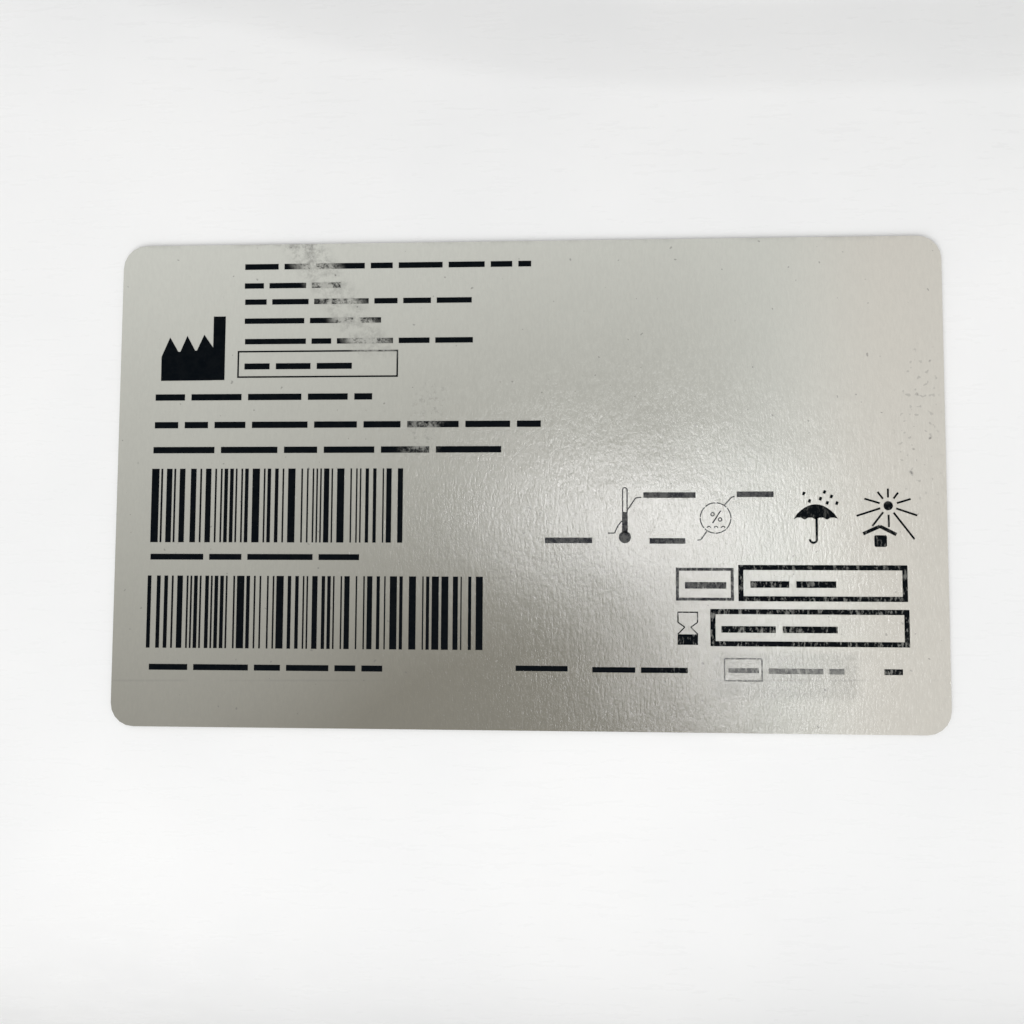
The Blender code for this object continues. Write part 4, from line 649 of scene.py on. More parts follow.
def notched(half, radius):
    """Cross-section of a support with an open notch for a round piece, as (across, up)."""
    flank = radius + 0.0002
    return [
        (-half, FOAM_FLOOR, FOAM_EDGE),
        (half, FOAM_FLOOR, FOAM_EDGE),
        (half, FOAM_SHOULDER, 0.0022),
        (flank, FOAM_SHOULDER, 0.0020),
        (flank, -flank, radius * 0.99),
        (-flank, -flank, radius * 0.99),
        (-flank, FOAM_SHOULDER, 0.0020),
        (-half, FOAM_SHOULDER, 0.0022),
    ]


# Turns (across, up, along) into (along, across, up).
SECTION_UP = Matrix(((0, 0, 1, 0), (1, 0, 0, 0), (0, 1, 0, 0), (0, 0, 0, 1)))


def notched_block(half, start, end, radius):
    block = cushioned(notched(half, radius), start, end, FOAM_EDGE)
    block.transform(SECTION_UP)
    return block


def flat_block(low, high):
    return cushioned(box_corners(low, high, 0.0015), FOAM_FLOOR, CASING_UNDER, FOAM_EDGE)


for node, shape, seat in (
    ("foam_head", notched_block(*HEAD_BLOCK, HEAD_NOTCH), head_seat),
    ("foam_shaft", notched_block(*SHAFT_BLOCK, SHAFT_NOTCH), instrument_seat),
    ("foam_barrel", flat_block(*BARREL_BLOCK), instrument_seat),
    ("foam_grip", flat_block(*GRIP_BLOCK), grip_seat),
):
    support = fitted(f"{node}_cut", shape, foam, "tray", seat, 60)
    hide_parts(node)


# The curved shaft is an extruded tube of dark grey plastic with a faint satin, bent over a former. A
# moulded collar closes the casing round it.
def moulded(name, colour, roughness, grain=0.00028, depth=0.000012, shine=0.5):
    """Injection-moulded plastic from a spark-eroded tool: a fine grain, faint flow clouds, rubbed places."""
    plastic = Finish(name, colour, roughness, Specular_IOR_Level=shine)
    flow = plastic.noise(0.035, 3.0)
    rubbed = plastic.noise(0.007, 5.0, 0.7)
    texture = plastic.noise(grain, 2.0, 0.6)
    darker = tuple(0.94 * part for part in colour)
    lighter = tuple(min(1.0, 1.05 * part + 0.002) for part in colour)
    plastic.set("Base Color", plastic.mix(flow.ramp(0.3, 0.7), darker, lighter))
    plastic.set("Roughness", rubbed.ramp(0.35, 0.70, roughness - 0.05, roughness + 0.07))
    plastic.bump(texture + flow * 0.5, depth, 0.9)
    return plastic


def shaft_point(run):
    """Centre of the shaft and its heading, that far from the casing's nose towards the head."""
    if run <= SHAFT_STRAIGHT:
        return -run, 0.0, math.pi
    swept = (run - SHAFT_STRAIGHT) / BEND_RADIUS
    return (
        -SHAFT_STRAIGHT - BEND_RADIUS * math.sin(swept),
        BEND_RADIUS * (1 - math.cos(swept)),
        math.pi - swept,
    )


def along_shaft(section, start, end):
    """Copies of a cross-section, as (across, up) points, every 4 mm along the shaft."""
    count = round((end - start) / 0.004)
    loops = []
    for k in range(count + 1):
        x, y, heading = shaft_point(start + (end - start) * k / count)
        aside_x, aside_y = -math.sin(heading), math.cos(heading)
        loops.append([(x + across * aside_x, y + across * aside_y, up) for across, up in section])
    return loops


def round_section(radius):
    angles = [2 * math.pi * i / 40 for i in range(40)]
    return [(radius * math.cos(angle), radius * math.sin(angle)) for angle in angles]


def tube_along(radius, bore, start, end):
    """A tube through the shaft's curve."""
    outside = along_shaft(round_section(radius), start, end)
    return skinned(outside + along_shaft(round_section(bore), start, end)[::-1], ring=True)


def turned(profile, steps=96, hollow=False, flute=None):
    """Turns (x, radius) points about X. A hollow profile closes on itself, and others end on the axis."""
    shape = bmesh.new()
    rows = []
    for i in range(steps):
        angle = 2 * math.pi * i / steps
        row = []
        for x, radius in profile:
            reach = radius - flute(x, radius, angle) if flute else radius
            row.append(shape.verts.new((x, reach * math.cos(angle), reach * math.sin(angle))))
        rows.append(row)
    for i in range(steps):
        here, there = rows[i], rows[(i + 1) % steps]
        for k in range(len(profile) if hollow else len(profile) - 1):
            n = (k + 1) % len(profile)
            corners = [here[k], here[n], there[n], there[k]]
            if profile[k][1] == 0:
                corners.remove(there[k])
            if profile[n][1] == 0:
                corners.remove(there[n])
            shape.faces.new(corners)
    bmesh.ops.remove_doubles(shape, verts=shape.verts, dist=0.0000001)
    return shape


SHAFT_RADIUS = 0.006
SHAFT_LENGTH = SHAFT_STRAIGHT + BEND_RADIUS * BEND_ANGLE
shaft_plastic = moulded("shaft_plastic", (0.235, 0.245, 0.255), 0.36, 0.0005, 0.000006)
SHAFT_BORE = 0.005
shaft = tube_along(SHAFT_RADIUS, SHAFT_BORE, -0.020, SHAFT_LENGTH)
shaft = fitted("shaft", shaft, shaft_plastic, "instrument", instrument_seat)
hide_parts("shaft_tube")
black_plastic = moulded("black_plastic", (0.026, 0.027, 0.030), 0.40, shine=0.35)
collar = turned(
    [
        (-0.0003, 0.0063),
        (-0.0003, 0.0103),
        (-0.0006, 0.0105),
        (-0.0020, 0.0105),
        (-0.0022, 0.0101),
        (-0.0030, 0.0101),
        (-0.0032, 0.0103),
        (-0.0042, 0.0098),
        (-0.0060, 0.0084),
        (-0.0067, 0.0076),
        (-0.0070, 0.0072),
        (-0.0070, 0.0063),
    ],
    hollow=True,
)
collar = fitted("shaft_collar", collar, black_plastic, "instrument", instrument_seat)
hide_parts("nose_collar")


# The stapling head is a white moulding that swells from the shaft's neck to the full 23 mm. The staple deck
# is a blue ring pressed in its mouth, and in each slot stands a titanium staple, its points towards the
# anvil.
white_plastic = moulded("white_plastic", (0.74, 0.75, 0.74), 0.34, 0.0004, 0.000006)
HEAD_RADIUS = 0.0115
HEAD_LENGTH = 0.044
NECK_RADIUS = 0.0073
swell = []
for k in range(17):
    part = k / 16
    ease = part * part * (3 - 2 * part)
    share = 0.45 * part + 0.55 * ease
    swell.append((0.002 + 0.011 * part, NECK_RADIUS + (HEAD_RADIUS - NECK_RADIUS) * share))
head_profile = [
    (-0.010, 0.0063),
    (-0.010, 0.0070),
    (-0.0097, NECK_RADIUS),
    *swell,
    (0.0280, HEAD_RADIUS),
    (0.0282, HEAD_RADIUS - 0.00018),
    (0.0288, HEAD_RADIUS - 0.00018),
    (0.0290, HEAD_RADIUS),
    (HEAD_LENGTH - 0.0004, HEAD_RADIUS),
    (HEAD_LENGTH, HEAD_RADIUS - 0.0003),
    (HEAD_LENGTH, 0.0107),
    (0.0127, 0.0107),
    (0.004, 0.0047),
    (0.0003, 0.0047),
    (0.0003, 0.0063),
]
head_shell = turned(head_profile, hollow=True)
head_shell = fitted("head_shell", head_shell, white_plastic, "instrument", head_seat)
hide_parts("head_casing")
STAPLES_PER_ROW = 9
ROW_RADII = (0.00965, 0.00835)
staple_seats = []
for k in range(STAPLES_PER_ROW):
    for row, radius in enumerate(ROW_RADII):
        staple_seats.append((2 * math.pi * (k + row / 2) / STAPLES_PER_ROW, radius))


def cube(low, high):
    shape = bmesh.new()
    bmesh.ops.create_cube(shape, size=1)
    for corner in shape.verts:
        corner.co = [a + (b - a) * (c + 0.5) for a, b, c in zip(low, high, corner.co)]
    return shape


def together(shapes):
    """One shape from several that don't touch."""
    whole = bmesh.new()
    for shape in shapes:
        scrap = bpy.data.meshes.new("scrap")
        shape.to_mesh(scrap)
        shape.free()
        whole.from_mesh(scrap)
        bpy.data.meshes.remove(scrap)
    return whole


SLIVER = 0.000002  # a cut's needle-thin faces under this width are merged away


def machined(shape, *steps):
    """Cuts or joins other shapes to a shape, one step after the other. A step is an operation and a shape,
    and a frame if the shape isn't drawn in the blank's own."""
    made = []
    for stage, other, *seat in (("blank", shape), *steps):
        bmesh.ops.recalc_face_normals(other, faces=other.faces)
        mesh = bpy.data.meshes.new("work")
        other.to_mesh(mesh)
        other.free()
        item = bpy.data.objects.new("work", mesh)
        bpy.context.scene.collection.objects.link(item)
        item.matrix_world = seat[0] if seat else Matrix()
        made.append((stage, item))
    blank = made[0][1]
    for stage, item in made[1:]:
        step = blank.modifiers.new(stage, "BOOLEAN")
        step.operation = stage
        step.object = item
        step.solver = "EXACT"
    bpy.context.view_layer.update()
    result = blank.evaluated_get(bpy.context.evaluated_depsgraph_get())
    finished = bmesh.new()
    finished.from_mesh(result.to_mesh())
    result.to_mesh_clear()
    bmesh.ops.remove_doubles(finished, verts=finished.verts, dist=SLIVER)
    bmesh.ops.dissolve_degenerate(finished, edges=finished.edges, dist=SLIVER)
    for _, item in made:
        mesh = item.data
        bpy.data.objects.remove(item)
        bpy.data.meshes.remove(mesh)
    return finished


def seat_blocks(start, end, length, width, offsets=(0.0,)):
    """A small block at each staple's seat, its long side along the row."""
    blocks = []
    for angle, radius in staple_seats:
        for offset in offsets:
            low = (start, radius - width / 2, offset - length / 2)
            block = cube(low, (end, radius + width / 2, offset + length / 2))
            block.transform(Matrix.Rotation(angle, 4, "X"))
            blocks.append(block)
    return together(blocks)


deck_blue = moulded("deck_blue", (0.022, 0.105, 0.260), 0.34, 0.0004, 0.000006, shine=0.35)
DECK_REAR = 0.0400
DECK_FACE = 0.0465
DECK_BORE = 0.0075
SLOT_LENGTH = 0.0038
SLOT_WIDTH = 0.0007
deck_profile = [
    (DECK_REAR, DECK_BORE),
    (DECK_REAR, 0.0104),
    (0.0443, 0.0104),
    (0.0443, HEAD_RADIUS - 0.0002),
    (0.0445, HEAD_RADIUS),
    (DECK_FACE - 0.0004, HEAD_RADIUS),
    (DECK_FACE - 0.0001, HEAD_RADIUS - 0.00015),
    (DECK_FACE, HEAD_RADIUS - 0.0004),
    (DECK_FACE, DECK_BORE + 0.0002),
    (DECK_FACE - 0.0002, DECK_BORE),
]
staple_slots = seat_blocks(DECK_REAR - 0.001, DECK_FACE + 0.001, SLOT_LENGTH, SLOT_WIDTH)
deck = machined(turned(deck_profile, hollow=True), ("DIFFERENCE", staple_slots))
deck = fitted("deck_ring", deck, deck_blue, "instrument", head_seat)
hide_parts("staple_deck")
titanium = Finish("titanium", (0.62, 0.61, 0.60), 0.28, 1.0)
titanium.uneven(0.22, 0.36, 0.0006, 3.0)
CROWN_AT = 0.0405
CROWN_HALF = 0.0016
CROWN_BEND = 0.0004
POINT_AT = 0.0457
WIRE = 0.00012
legs = [(POINT_AT, CROWN_HALF), (CROWN_AT + CROWN_BEND, CROWN_HALF), (CROWN_AT, CROWN_HALF - CROWN_BEND)]
wire_path = [(x, -z) for x, z in legs] + legs[::-1]
staples = []
for angle, radius in staple_seats:
    loops = []
    for k, (x, z) in enumerate(wire_path):
        before, after = wire_path[max(k - 1, 0)], wire_path[min(k + 1, len(wire_path) - 1)]
        way = Vector((after[0] - before[0], 0, after[1] - before[1])).normalized()
        aside = way.cross(Vector((0, 1, 0)))
        wire = WIRE * (0.25 if k in (0, len(wire_path) - 1) else 1.0)
        centre = Vector((x, radius, z))
        turns = [math.pi / 3 * i for i in range(6)]
        loops.append([centre + wire * (aside * math.cos(t) + Vector((0, math.sin(t), 0))) for t in turns])
    staple = skinned(loops)
    staple.transform(Matrix.Rotation(angle, 4, "X"))
    staples.append(staple)
fitted("staples", together(staples), titanium, "driver", head_seat)


# The anvil is a domed cap of stainless steel, turned and polished, with two forming pockets stamped over
# each staple. A white plastic washer that the knife cuts through sits in its recess, and the trocar and
# shank are ground bright.
def bright_steel(name, colour, roughness):
    """Steel turned about its own X axis: fine rings of tool marks, and finger-soft smears."""
    steel = Finish(name, colour, roughness, 1.0)
    marks = steel.noise(0.00012, 2.0, 0.5, steel.stretched(1.0, 0.03, 0.03))
    smear = steel.noise(0.006, 4.0, 0.65)
    steel.set("Roughness", smear.ramp(0.3, 0.7, roughness - 0.05, roughness + 0.08) + (marks - 0.5) * 0.06)
    steel.set("Base Color", steel.mix(smear.ramp(0.35, 0.75), colour, tuple(0.90 * part for part in colour)))
    steel.bump(marks, 0.000004, 0.8)
    return steel


anvil_steel = bright_steel("anvil_steel", (0.63, 0.63, 0.62), 0.20)
ANVIL_FACE = 0.0685
POCKET_LENGTH = 0.0014
POCKET_DEPTH = 0.0005
POCKET_ASIDE = 0.00105  # from its staple's middle
dome = []
for k in range(15):
    angle = math.pi / 2 * k / 14
    dome.append((ANVIL_FACE + 0.0027 + 0.0076 * math.sin(angle), HEAD_RADIUS * math.cos(angle)))
dome[-1] = (dome[-1][0], 0)
anvil_profile = [
    (0.0765, 0),
    (0.0765, 0.0038),
    (0.0735, 0.0038),
    (0.0735, 0.0075),
    (ANVIL_FACE + 0.0002, 0.0075),
    (ANVIL_FACE, 0.0077),
    (ANVIL_FACE, HEAD_RADIUS - 0.0005),
    (ANVIL_FACE + 0.0001, HEAD_RADIUS - 0.0002),
    (ANVIL_FACE + 0.0005, HEAD_RADIUS),
    *dome,
]
both_legs = (-POCKET_ASIDE, POCKET_ASIDE)
pockets = seat_blocks(ANVIL_FACE - 0.001, ANVIL_FACE + POCKET_DEPTH, POCKET_LENGTH, SLOT_WIDTH, both_legs)
anvil = machined(turned(anvil_profile), ("DIFFERENCE", pockets))
anvil = fitted("anvil_cap", anvil, anvil_steel, "anvil", head_seat)
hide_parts("anvil_head")
dress(white_plastic, "breakaway_washer")
ground_steel = bright_steel("ground_steel", (0.60, 0.60, 0.60), 0.24)
dress(ground_steel, "anvil_shank", "trocar", "circular_knife", "band_coupling")


# The handle's casing is two glass-filled nylon halves, screwed together from the left. Their light grey
# skin has a fine grain, and the screws sit deep in their wells. The inside is seen only through the
# trigger's slot.
CASING_LENGTH = 0.152
CASING_HALF_WIDTH = 0.019
CASING_EDGE = 0.011
CASING_WALL = 0.002
GRIP_HALF_DEPTH = 0.022
PACK_BASE = 0.014
TOP_FRONT = (0.062, 0.0265)
TOP_REAR = (CASING_LENGTH, 0.021)
SEAM_CHAMFER = 0.0003


def grip_corner(x, y, fillet):
    """A corner given in the grip's frame, as one of the instrument's."""
    return (
        battery_joint[0] + x * math.cos(GRIP_LEAN) - y * math.sin(GRIP_LEAN),
        battery_joint[1] + x * math.sin(GRIP_LEAN) + y * math.cos(GRIP_LEAN),
        fillet,
    )


casing_corners = [
    (0, 0.014, 0.003),
    (0, -0.014, 0.003),
    (0.030, -0.024, 0.030),
    grip_corner(-GRIP_HALF_DEPTH, 0.0836, 0.012),
    grip_corner(-GRIP_HALF_DEPTH, -PACK_BASE, 0.006),
    grip_corner(GRIP_HALF_DEPTH, -PACK_BASE, 0.006),
    grip_corner(GRIP_HALF_DEPTH, 0.062, 0.010),
    (CASING_LENGTH, -0.031, 0.007),
    (*TOP_REAR, 0.006),
    (*TOP_FRONT, 0.080),
    (0.026, 0.0215, 0.040),
]


def half_casing(side, low, inset, steps=12, edge_steps=9, chamfer=0.0):
    """One half of the handle's form, from that height beside the joint out to its rounded side."""
    edge = CASING_EDGE - inset
    layers = [(inset + chamfer, low)]
    if chamfer:
        layers.append((inset, low + chamfer))
    for k in range(edge_steps + 1):
        angle = math.pi / 2 * k / edge_steps
        height = CASING_HALF_WIDTH - CASING_EDGE + edge * math.sin(angle)
        layers.append((inset + edge * (1 - math.cos(angle)), height))
    outlines = [(rounded(casing_corners, shrink, steps), side * height) for shrink, height in layers]
    return skinned([[(x, y, height) for x, y in outline] for outline, height in outlines])


def post(x, y, low, high, radius):
    """A round post along Z."""
    shape = turned([(low, 0), (low, radius), (high, radius), (high, 0)], 32)
    shape.transform(Matrix.Translation((x, y, 0)) @ Matrix.Rotation(-math.pi / 2, 4, "Y"))
    return shape


def bar_along(start, end, radius):
    """A round bar along X, on the instrument's axis."""
    return turned([(start, 0), (start, radius), (end, radius), (end, 0)], 48)


SCREW_SPOTS = ((0.018, -0.013), (0.026, 0.014), (0.136, 0.015), (0.136, -0.021))
LIGHTS_X = 0.078
LIGHT_SPOTS = [(LIGHTS_X + 0.009 * (k - 1), 0.0125) for k in range(3)]
LIGHT_HOLE = 0.0019
SAFETY_SPOT = (0.057, -0.0225)
WINDOW_X = 0.095
top_slope = (TOP_REAR[1] - TOP_FRONT[1]) / (TOP_REAR[0] - TOP_FRONT[0])
window_y = TOP_FRONT[1] + (WINDOW_X - TOP_FRONT[0]) * top_slope
window_seat = instrument_seat @ Matrix.Translation((WINDOW_X, window_y, 0))
window_seat = window_seat @ Matrix.Rotation(math.atan(top_slope), 4, "Z")
to_window = instrument_seat.inverted() @ window_seat
to_grip = instrument_seat.inverted() @ grip_seat
BOSS_FACE = 0.0078
BOSS_END = 0.021
TRIGGER_BOSS = 0.004
SAFETY_BOSS = 0.0035
REAR_BOSS = 0.1465
REAR_BOSS_RADIUS = 0.0125
SHAFT_HOLE = 0.0063
KNOB_HOLE = 0.0088
WELL_TOP = 0.040
SCREW_WELL = 0.0029
SCREW_FLOOR = 0.0110
LIGHT_FLOOR = 0.0105
TRIGGER_OPENING = ((0.0275, -0.060, -0.0079), (0.078, -0.0125, 0.0079))
PAST_GRIP_END = ((-0.05, -0.03, -0.04), (0.05, 0, 0.04))
WINDOW_OPENING = ((-0.0173, -0.004, -0.0048), (0.0173, 0.01, 0.0048))
casing_grey = moulded("casing_grey", (0.50, 0.51, 0.515), 0.44, 0.00030, 0.000012)
for name, side in (("casing_left", 1), ("casing_right", -1)):
    cavity = half_casing(side, -0.0003, CASING_WALL, 6, 5)
    ends = sorted((side * BOSS_FACE, side * BOSS_END))
    bosses = [post(*TRIGGER_SPOT, *ends, TRIGGER_BOSS), post(*SAFETY_SPOT, *ends, SAFETY_BOSS)]
    bosses.append(bar_along(REAR_BOSS, CASING_LENGTH, REAR_BOSS_RADIUS))
    cavity = machined(cavity, *(("DIFFERENCE", boss) for boss in bosses))
    bores = together([bar_along(-0.005, 0.010, SHAFT_HOLE), bar_along(REAR_BOSS - 0.001, 0.162, KNOB_HOLE)])
    cuts = [
        ("DIFFERENCE", cavity),
        ("DIFFERENCE", bores),
        ("DIFFERENCE", cube(*TRIGGER_OPENING)),
        ("DIFFERENCE", cube(*PAST_GRIP_END), to_grip),
        ("DIFFERENCE", cube(*WINDOW_OPENING), to_window),
    ]
    if side > 0:
        wells = [post(x, y, SCREW_FLOOR, WELL_TOP, SCREW_WELL) for x, y in SCREW_SPOTS]
        wells += [post(x, y, LIGHT_FLOOR, WELL_TOP, LIGHT_HOLE) for x, y in LIGHT_SPOTS]
        cuts.append(("DIFFERENCE", together(wells)))
    shell = machined(half_casing(side, 0.00015, 0, chamfer=SEAM_CHAMFER), *cuts)
    shell = fitted(f"{name}_shell", shell, casing_grey, "instrument", instrument_seat, 35)
    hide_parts(name)

# The grip's soft skin is a dark rubber moulded over each half, half a millimetre proud, with ribs round it
# for the palm and fingers. It ends in a plain rim where it meets the hard casing and the battery pack.
grip_rubber = moulded("grip_rubber", (0.022, 0.023, 0.026), 0.62, 0.00022, 0.000010, shine=0.3)
SKIN_PROUD = 0.0005
SKIN_ROOT = 0.0012
GRIP_SKIN = [
    grip_corner(-0.040, 0.0012, 0.001),
    grip_corner(0.040, 0.0012, 0.001),
    grip_corner(0.040, 0.046, 0.002),
    grip_corner(0.010, 0.052, 0.016),
    grip_corner(-0.004, 0.068, 0.014),
    grip_corner(-0.040, 0.070, 0.002),
]
RIB_PITCH = 0.0034
RIB_GROOVE = 0.0011
RIB_DEPTH = 0.00040
groove_starts = [0.0075 + RIB_PITCH * k for k in range(11)]
for name, side in (("skin_left", 1), ("skin_right", -1)):
    outer = half_casing(side, 0.0002, -SKIN_PROUD)
    inner = half_casing(side, -0.004, SKIN_ROOT)
    region = skinned([[(x, y, z) for x, y in rounded(GRIP_SKIN)] for z in (-0.05, 0.05)])
    grooves = together([cube((-0.04, y, -0.04), (0.04, y + RIB_GROOVE, 0.04)) for y in groove_starts])
    grooves.transform(to_grip)
    grooves = machined(grooves, ("DIFFERENCE", half_casing(side, -0.006, RIB_DEPTH - SKIN_PROUD)))
    skin = machined(outer, ("DIFFERENCE", inner), ("DIFFERENCE", grooves), ("INTERSECT", region))
    fitted(f"grip_{name}", skin, grip_rubber, "instrument", instrument_seat, 35)

# The status panel is a smoked film plate round the three lights, stuck on the left half. Its signs are
# plain ones: a battery, a ring for ready, and a triangle for look here.
panel_film = Finish("panel_film", (0.018, 0.020, 0.024), 0.16, Specular_IOR_Level=0.5)
panel_film.uneven(0.12, 0.22, 0.004, 4.0, 0.7)
PANEL_FOOT = CASING_HALF_WIDTH - 0.0006
PANEL_TOP = CASING_HALF_WIDTH + 0.00025
SIGNS_Y = 0.0086
panel = cushioned(box_corners((0.0610, 0.0060), (0.0950, 0.0158), 0.0022), PANEL_FOOT, PANEL_TOP, 0.0002)
holes = together([post(x, y, 0.015, 0.030, LIGHT_HOLE) for x, y in LIGHT_SPOTS])
panel = machined(panel, ("DIFFERENCE", holes))
fitted("status_panel", panel, panel_film, "instrument", instrument_seat)


def on_panel(x, y):
    """A point just above the status panel, in millimetres from the middle light's foot line."""
    return instrument_seat @ Vector((LIGHTS_X + x / MM, SIGNS_Y - y / MM, PANEL_TOP + INK_RISE))


sign_white = Finish("sign_white", (0.70, 0.71, 0.72), 0.5)
sign_white.uneven(0.45, 0.6, 0.001)
signs = Print(on_panel)
signs.box(-10.6, -0.9, -7.6, 0.7, 0.25)
signs.bar(-7.6, -0.5, -7.2, 0.3)
signs.bar(-10.1, -0.45, -9.1, 0.25)
signs.ring(0, -0.1, 0.95, 0.25)
signs.stroke(0.25, (9, -1.0), (8.0, 0.65), (10.0, 0.65), (9, -1.0))
signs.finish("panel_signs", sign_white, "instrument", "white_plastic")


# The status lights are clear light pipes that stand up from the board into the panel. They are off, and
# show milky green, amber and white.
for k, tint in enumerate(((0.35, 0.62, 0.40), (0.75, 0.52, 0.18), (0.72, 0.74, 0.74)), 1):
    name = f"light_pipe_{k}"
    pipe = Finish(name, tint, 0.12, Transmission_Weight=0.35, Coat_Weight=0.6, Coat_Roughness=0.05)
    pipe.uneven(0.10, 0.20, 0.0008)
    dress(pipe, f"status_light_{k}")


# The gap scale lies under a clear window on the casing's top line: a white strip with a green safe range
# and even ticks, and an orange pointer that the closing drive moves along it.
clear_window = Finish("clear_window", (0.93, 0.96, 0.97), 0.04, Transmission_Weight=1.0, IOR=1.46)
clear_window.uneven(0.03, 0.09, 0.003, 4.0, 0.7, start=0.35)
dress(clear_window, "gap_window")
SCALE_FACE = -0.00229
scale_white = moulded("scale_white", (0.78, 0.79, 0.79), 0.5)
dress(scale_white, "gap_scale")
pointer_orange = moulded("pointer_orange", (0.80, 0.20, 0.02), 0.4)
dress(pointer_orange, "gap_indicator")


def on_scale(x, y):
    """A point of the gap scale, in millimetres from its middle, seen from outside, the head to the left."""
    return window_seat @ Vector((x / MM, SCALE_FACE + INK_RISE, y / MM))


def scale_ink(name, colour):
    ink = Finish(name, colour, 0.5)
    ink.uneven(0.42, 0.6, 0.0008)
    return ink


safe_range = Print(on_scale)
safe_range.bar(-2.5, -4.2, 6.5, -1.2)
scale_green = scale_ink("scale_green", (0.03, 0.30, 0.08))
safe_range.finish("scale_safe_range", scale_green, "instrument", "white_plastic")
ticks = Print(on_scale)
for k in range(15):
    high = 3.6 if k % 5 == 2 else 2.4
    ticks.bar(-14.1 + 2 * k, 4.2 - high, -13.9 + 2 * k, 4.2)
scale_black = scale_ink("scale_black", (0.012, 0.012, 0.014))
ticks.finish("scale_ticks", scale_black, "instrument", "white_plastic")

# The adjusting knob is a charcoal moulding with nine finger flutes, a groove round its foot and a dished
# cap. It turns on the casing's bearing, and the brass nut pressed in it draws the closure screw back.
KNOB_RADIUS = 0.02127
KNOB_FRONT = 0.1526
KNOB_LENGTH = 0.047
KNOB_END = KNOB_FRONT + KNOB_LENGTH
KNOB_FLUTES = 9
FLUTE_DEPTH = 0.0013


def knob_flute(x, radius, angle):
    """Finger flutes, deepest between the ribs, that fade out towards both ends of the wide part."""
    if radius < 0.8 * KNOB_RADIUS:
        return 0.0
    fade_in = min(1.0, max(0.0, (x - KNOB_FRONT - 0.0035) / 0.003))
    fade_out = min(1.0, max(0.0, (KNOB_END - 0.0030 - x) / 0.0030))
    wave = (0.5 - 0.5 * math.cos(KNOB_FLUTES * angle)) ** 2
    return FLUTE_DEPTH * wave * fade_in * fade_out


SKIRT = ((0.0, 0.90), (0.0006, 0.935), (0.0015, 0.95), (0.0030, 0.955), (0.0031, 0.935), (0.0036, 0.935),
         (0.0037, 0.955), (0.0056, 0.96), (0.0120, 0.945), (0.0188, 0.93), (0.0250, 0.945), (0.0300, 0.965),
         (0.0352, 1.0), (0.0380, 0.998), (0.0400, 0.99), (0.0423, 0.97), (0.0440, 0.91), (0.0456, 0.84),
         (0.0464, 0.75), (0.0469, 0.66), (0.0470, 0.62), (0.0469, 0.57), (0.0462, 0.52), (0.0460, 0.30))
knob_profile = [
    (0.1945, 0),
    (0.1945, 0.0036),
    (0.1610, 0.0036),
    (0.1610, 0.0058),
    (0.1422, 0.0058),
    (0.1422, 0.0105),
    (0.1462, 0.0105),
    (0.1462, 0.0085),
    (KNOB_FRONT, 0.0085),
    *[(KNOB_FRONT + x, KNOB_RADIUS * share) for x, share in SKIRT],
    (KNOB_END - 0.0010, 0),
]
knob_charcoal = moulded("knob_charcoal", (0.046, 0.049, 0.054), 0.42, 0.00030, 0.000014, shine=0.35)
knob = fitted(
    "knob_moulding",
    turned(knob_profile, KNOB_FLUTES * 20, flute=knob_flute),
    knob_charcoal,
    "knob",
    instrument_seat,
    50,
)
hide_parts("adjusting_knob")
brass = bright_steel("brass", (0.70, 0.50, 0.20), 0.28)
dress(brass, "lead_nut", "battery_contacts")
machine_steel = bright_steel("machine_steel", (0.52, 0.53, 0.54), 0.30)
dress(machine_steel, "closure_screw", "drive_bracket", "cam_roller", "motor", "gearbox")
dress(machine_steel, "trigger_pin", "safety_pin")
screw_steel = bright_steel("screw_steel", (0.20, 0.20, 0.21), 0.34)
dress(screw_steel, *(f"casing_screw_{k}" for k in range(1, 5)))


# The firing trigger is a dark blue moulding, curved for two fingers, with grooves across the finger face.
# Its bore turns on a ground pin. The red safety catch behind it is moulded too, and has four thumb grooves.
trigger_blue = moulded("trigger_blue", (0.014, 0.052, 0.135), 0.36, 0.00030, 0.000012, shine=0.35)
TRIGGER_LENGTH = 0.084
TRIGGER_HALF = 0.007
TRIGGER_BORE = 0.0022
trigger_corners = [
    (-0.0028, 0.008, 0.00098),
    (-0.0068, -0.00503, 0.00503),
    (0.0095, -0.58 * TRIGGER_LENGTH, 0.070),
    (0.0155, -TRIGGER_LENGTH, 0.0035),
    (0.0270, -TRIGGER_LENGTH + 0.0014, 0.0035),
    (0.0210, -0.60 * TRIGGER_LENGTH, 0.070),
    (0.0068, -0.00408, 0.00408),
    (0.0028, 0.008, 0.00098),
]
trigger_turn = instrument_seat @ Matrix.Translation((*TRIGGER_SPOT, 0))


def grooved(shape, outline, lengthwise, places, radius, depth, half_width):
    """Cuts round grooves across a moulding at those places along X (0) or Y (1), on the side of its outline
    that comes first in the other direction."""
    cutters = []
    for place in places:
        found = []
        for here, there in zip(outline, outline[1:] + outline[:1]):
            run, next_run = here[lengthwise], there[lengthwise]
            if (run - place) * (next_run - place) < 0:
                share = (place - run) / (next_run - run)
                start, end = here[1 - lengthwise], there[1 - lengthwise]
                found.append(start + share * (end - start))
        centre = [0.0, 0.0]
        centre[lengthwise] = place
        centre[1 - lengthwise] = min(found) - radius + depth
        cutters.append(post(*centre, -half_width, half_width, radius))
    return machined(shape, ("DIFFERENCE", together(cutters)))


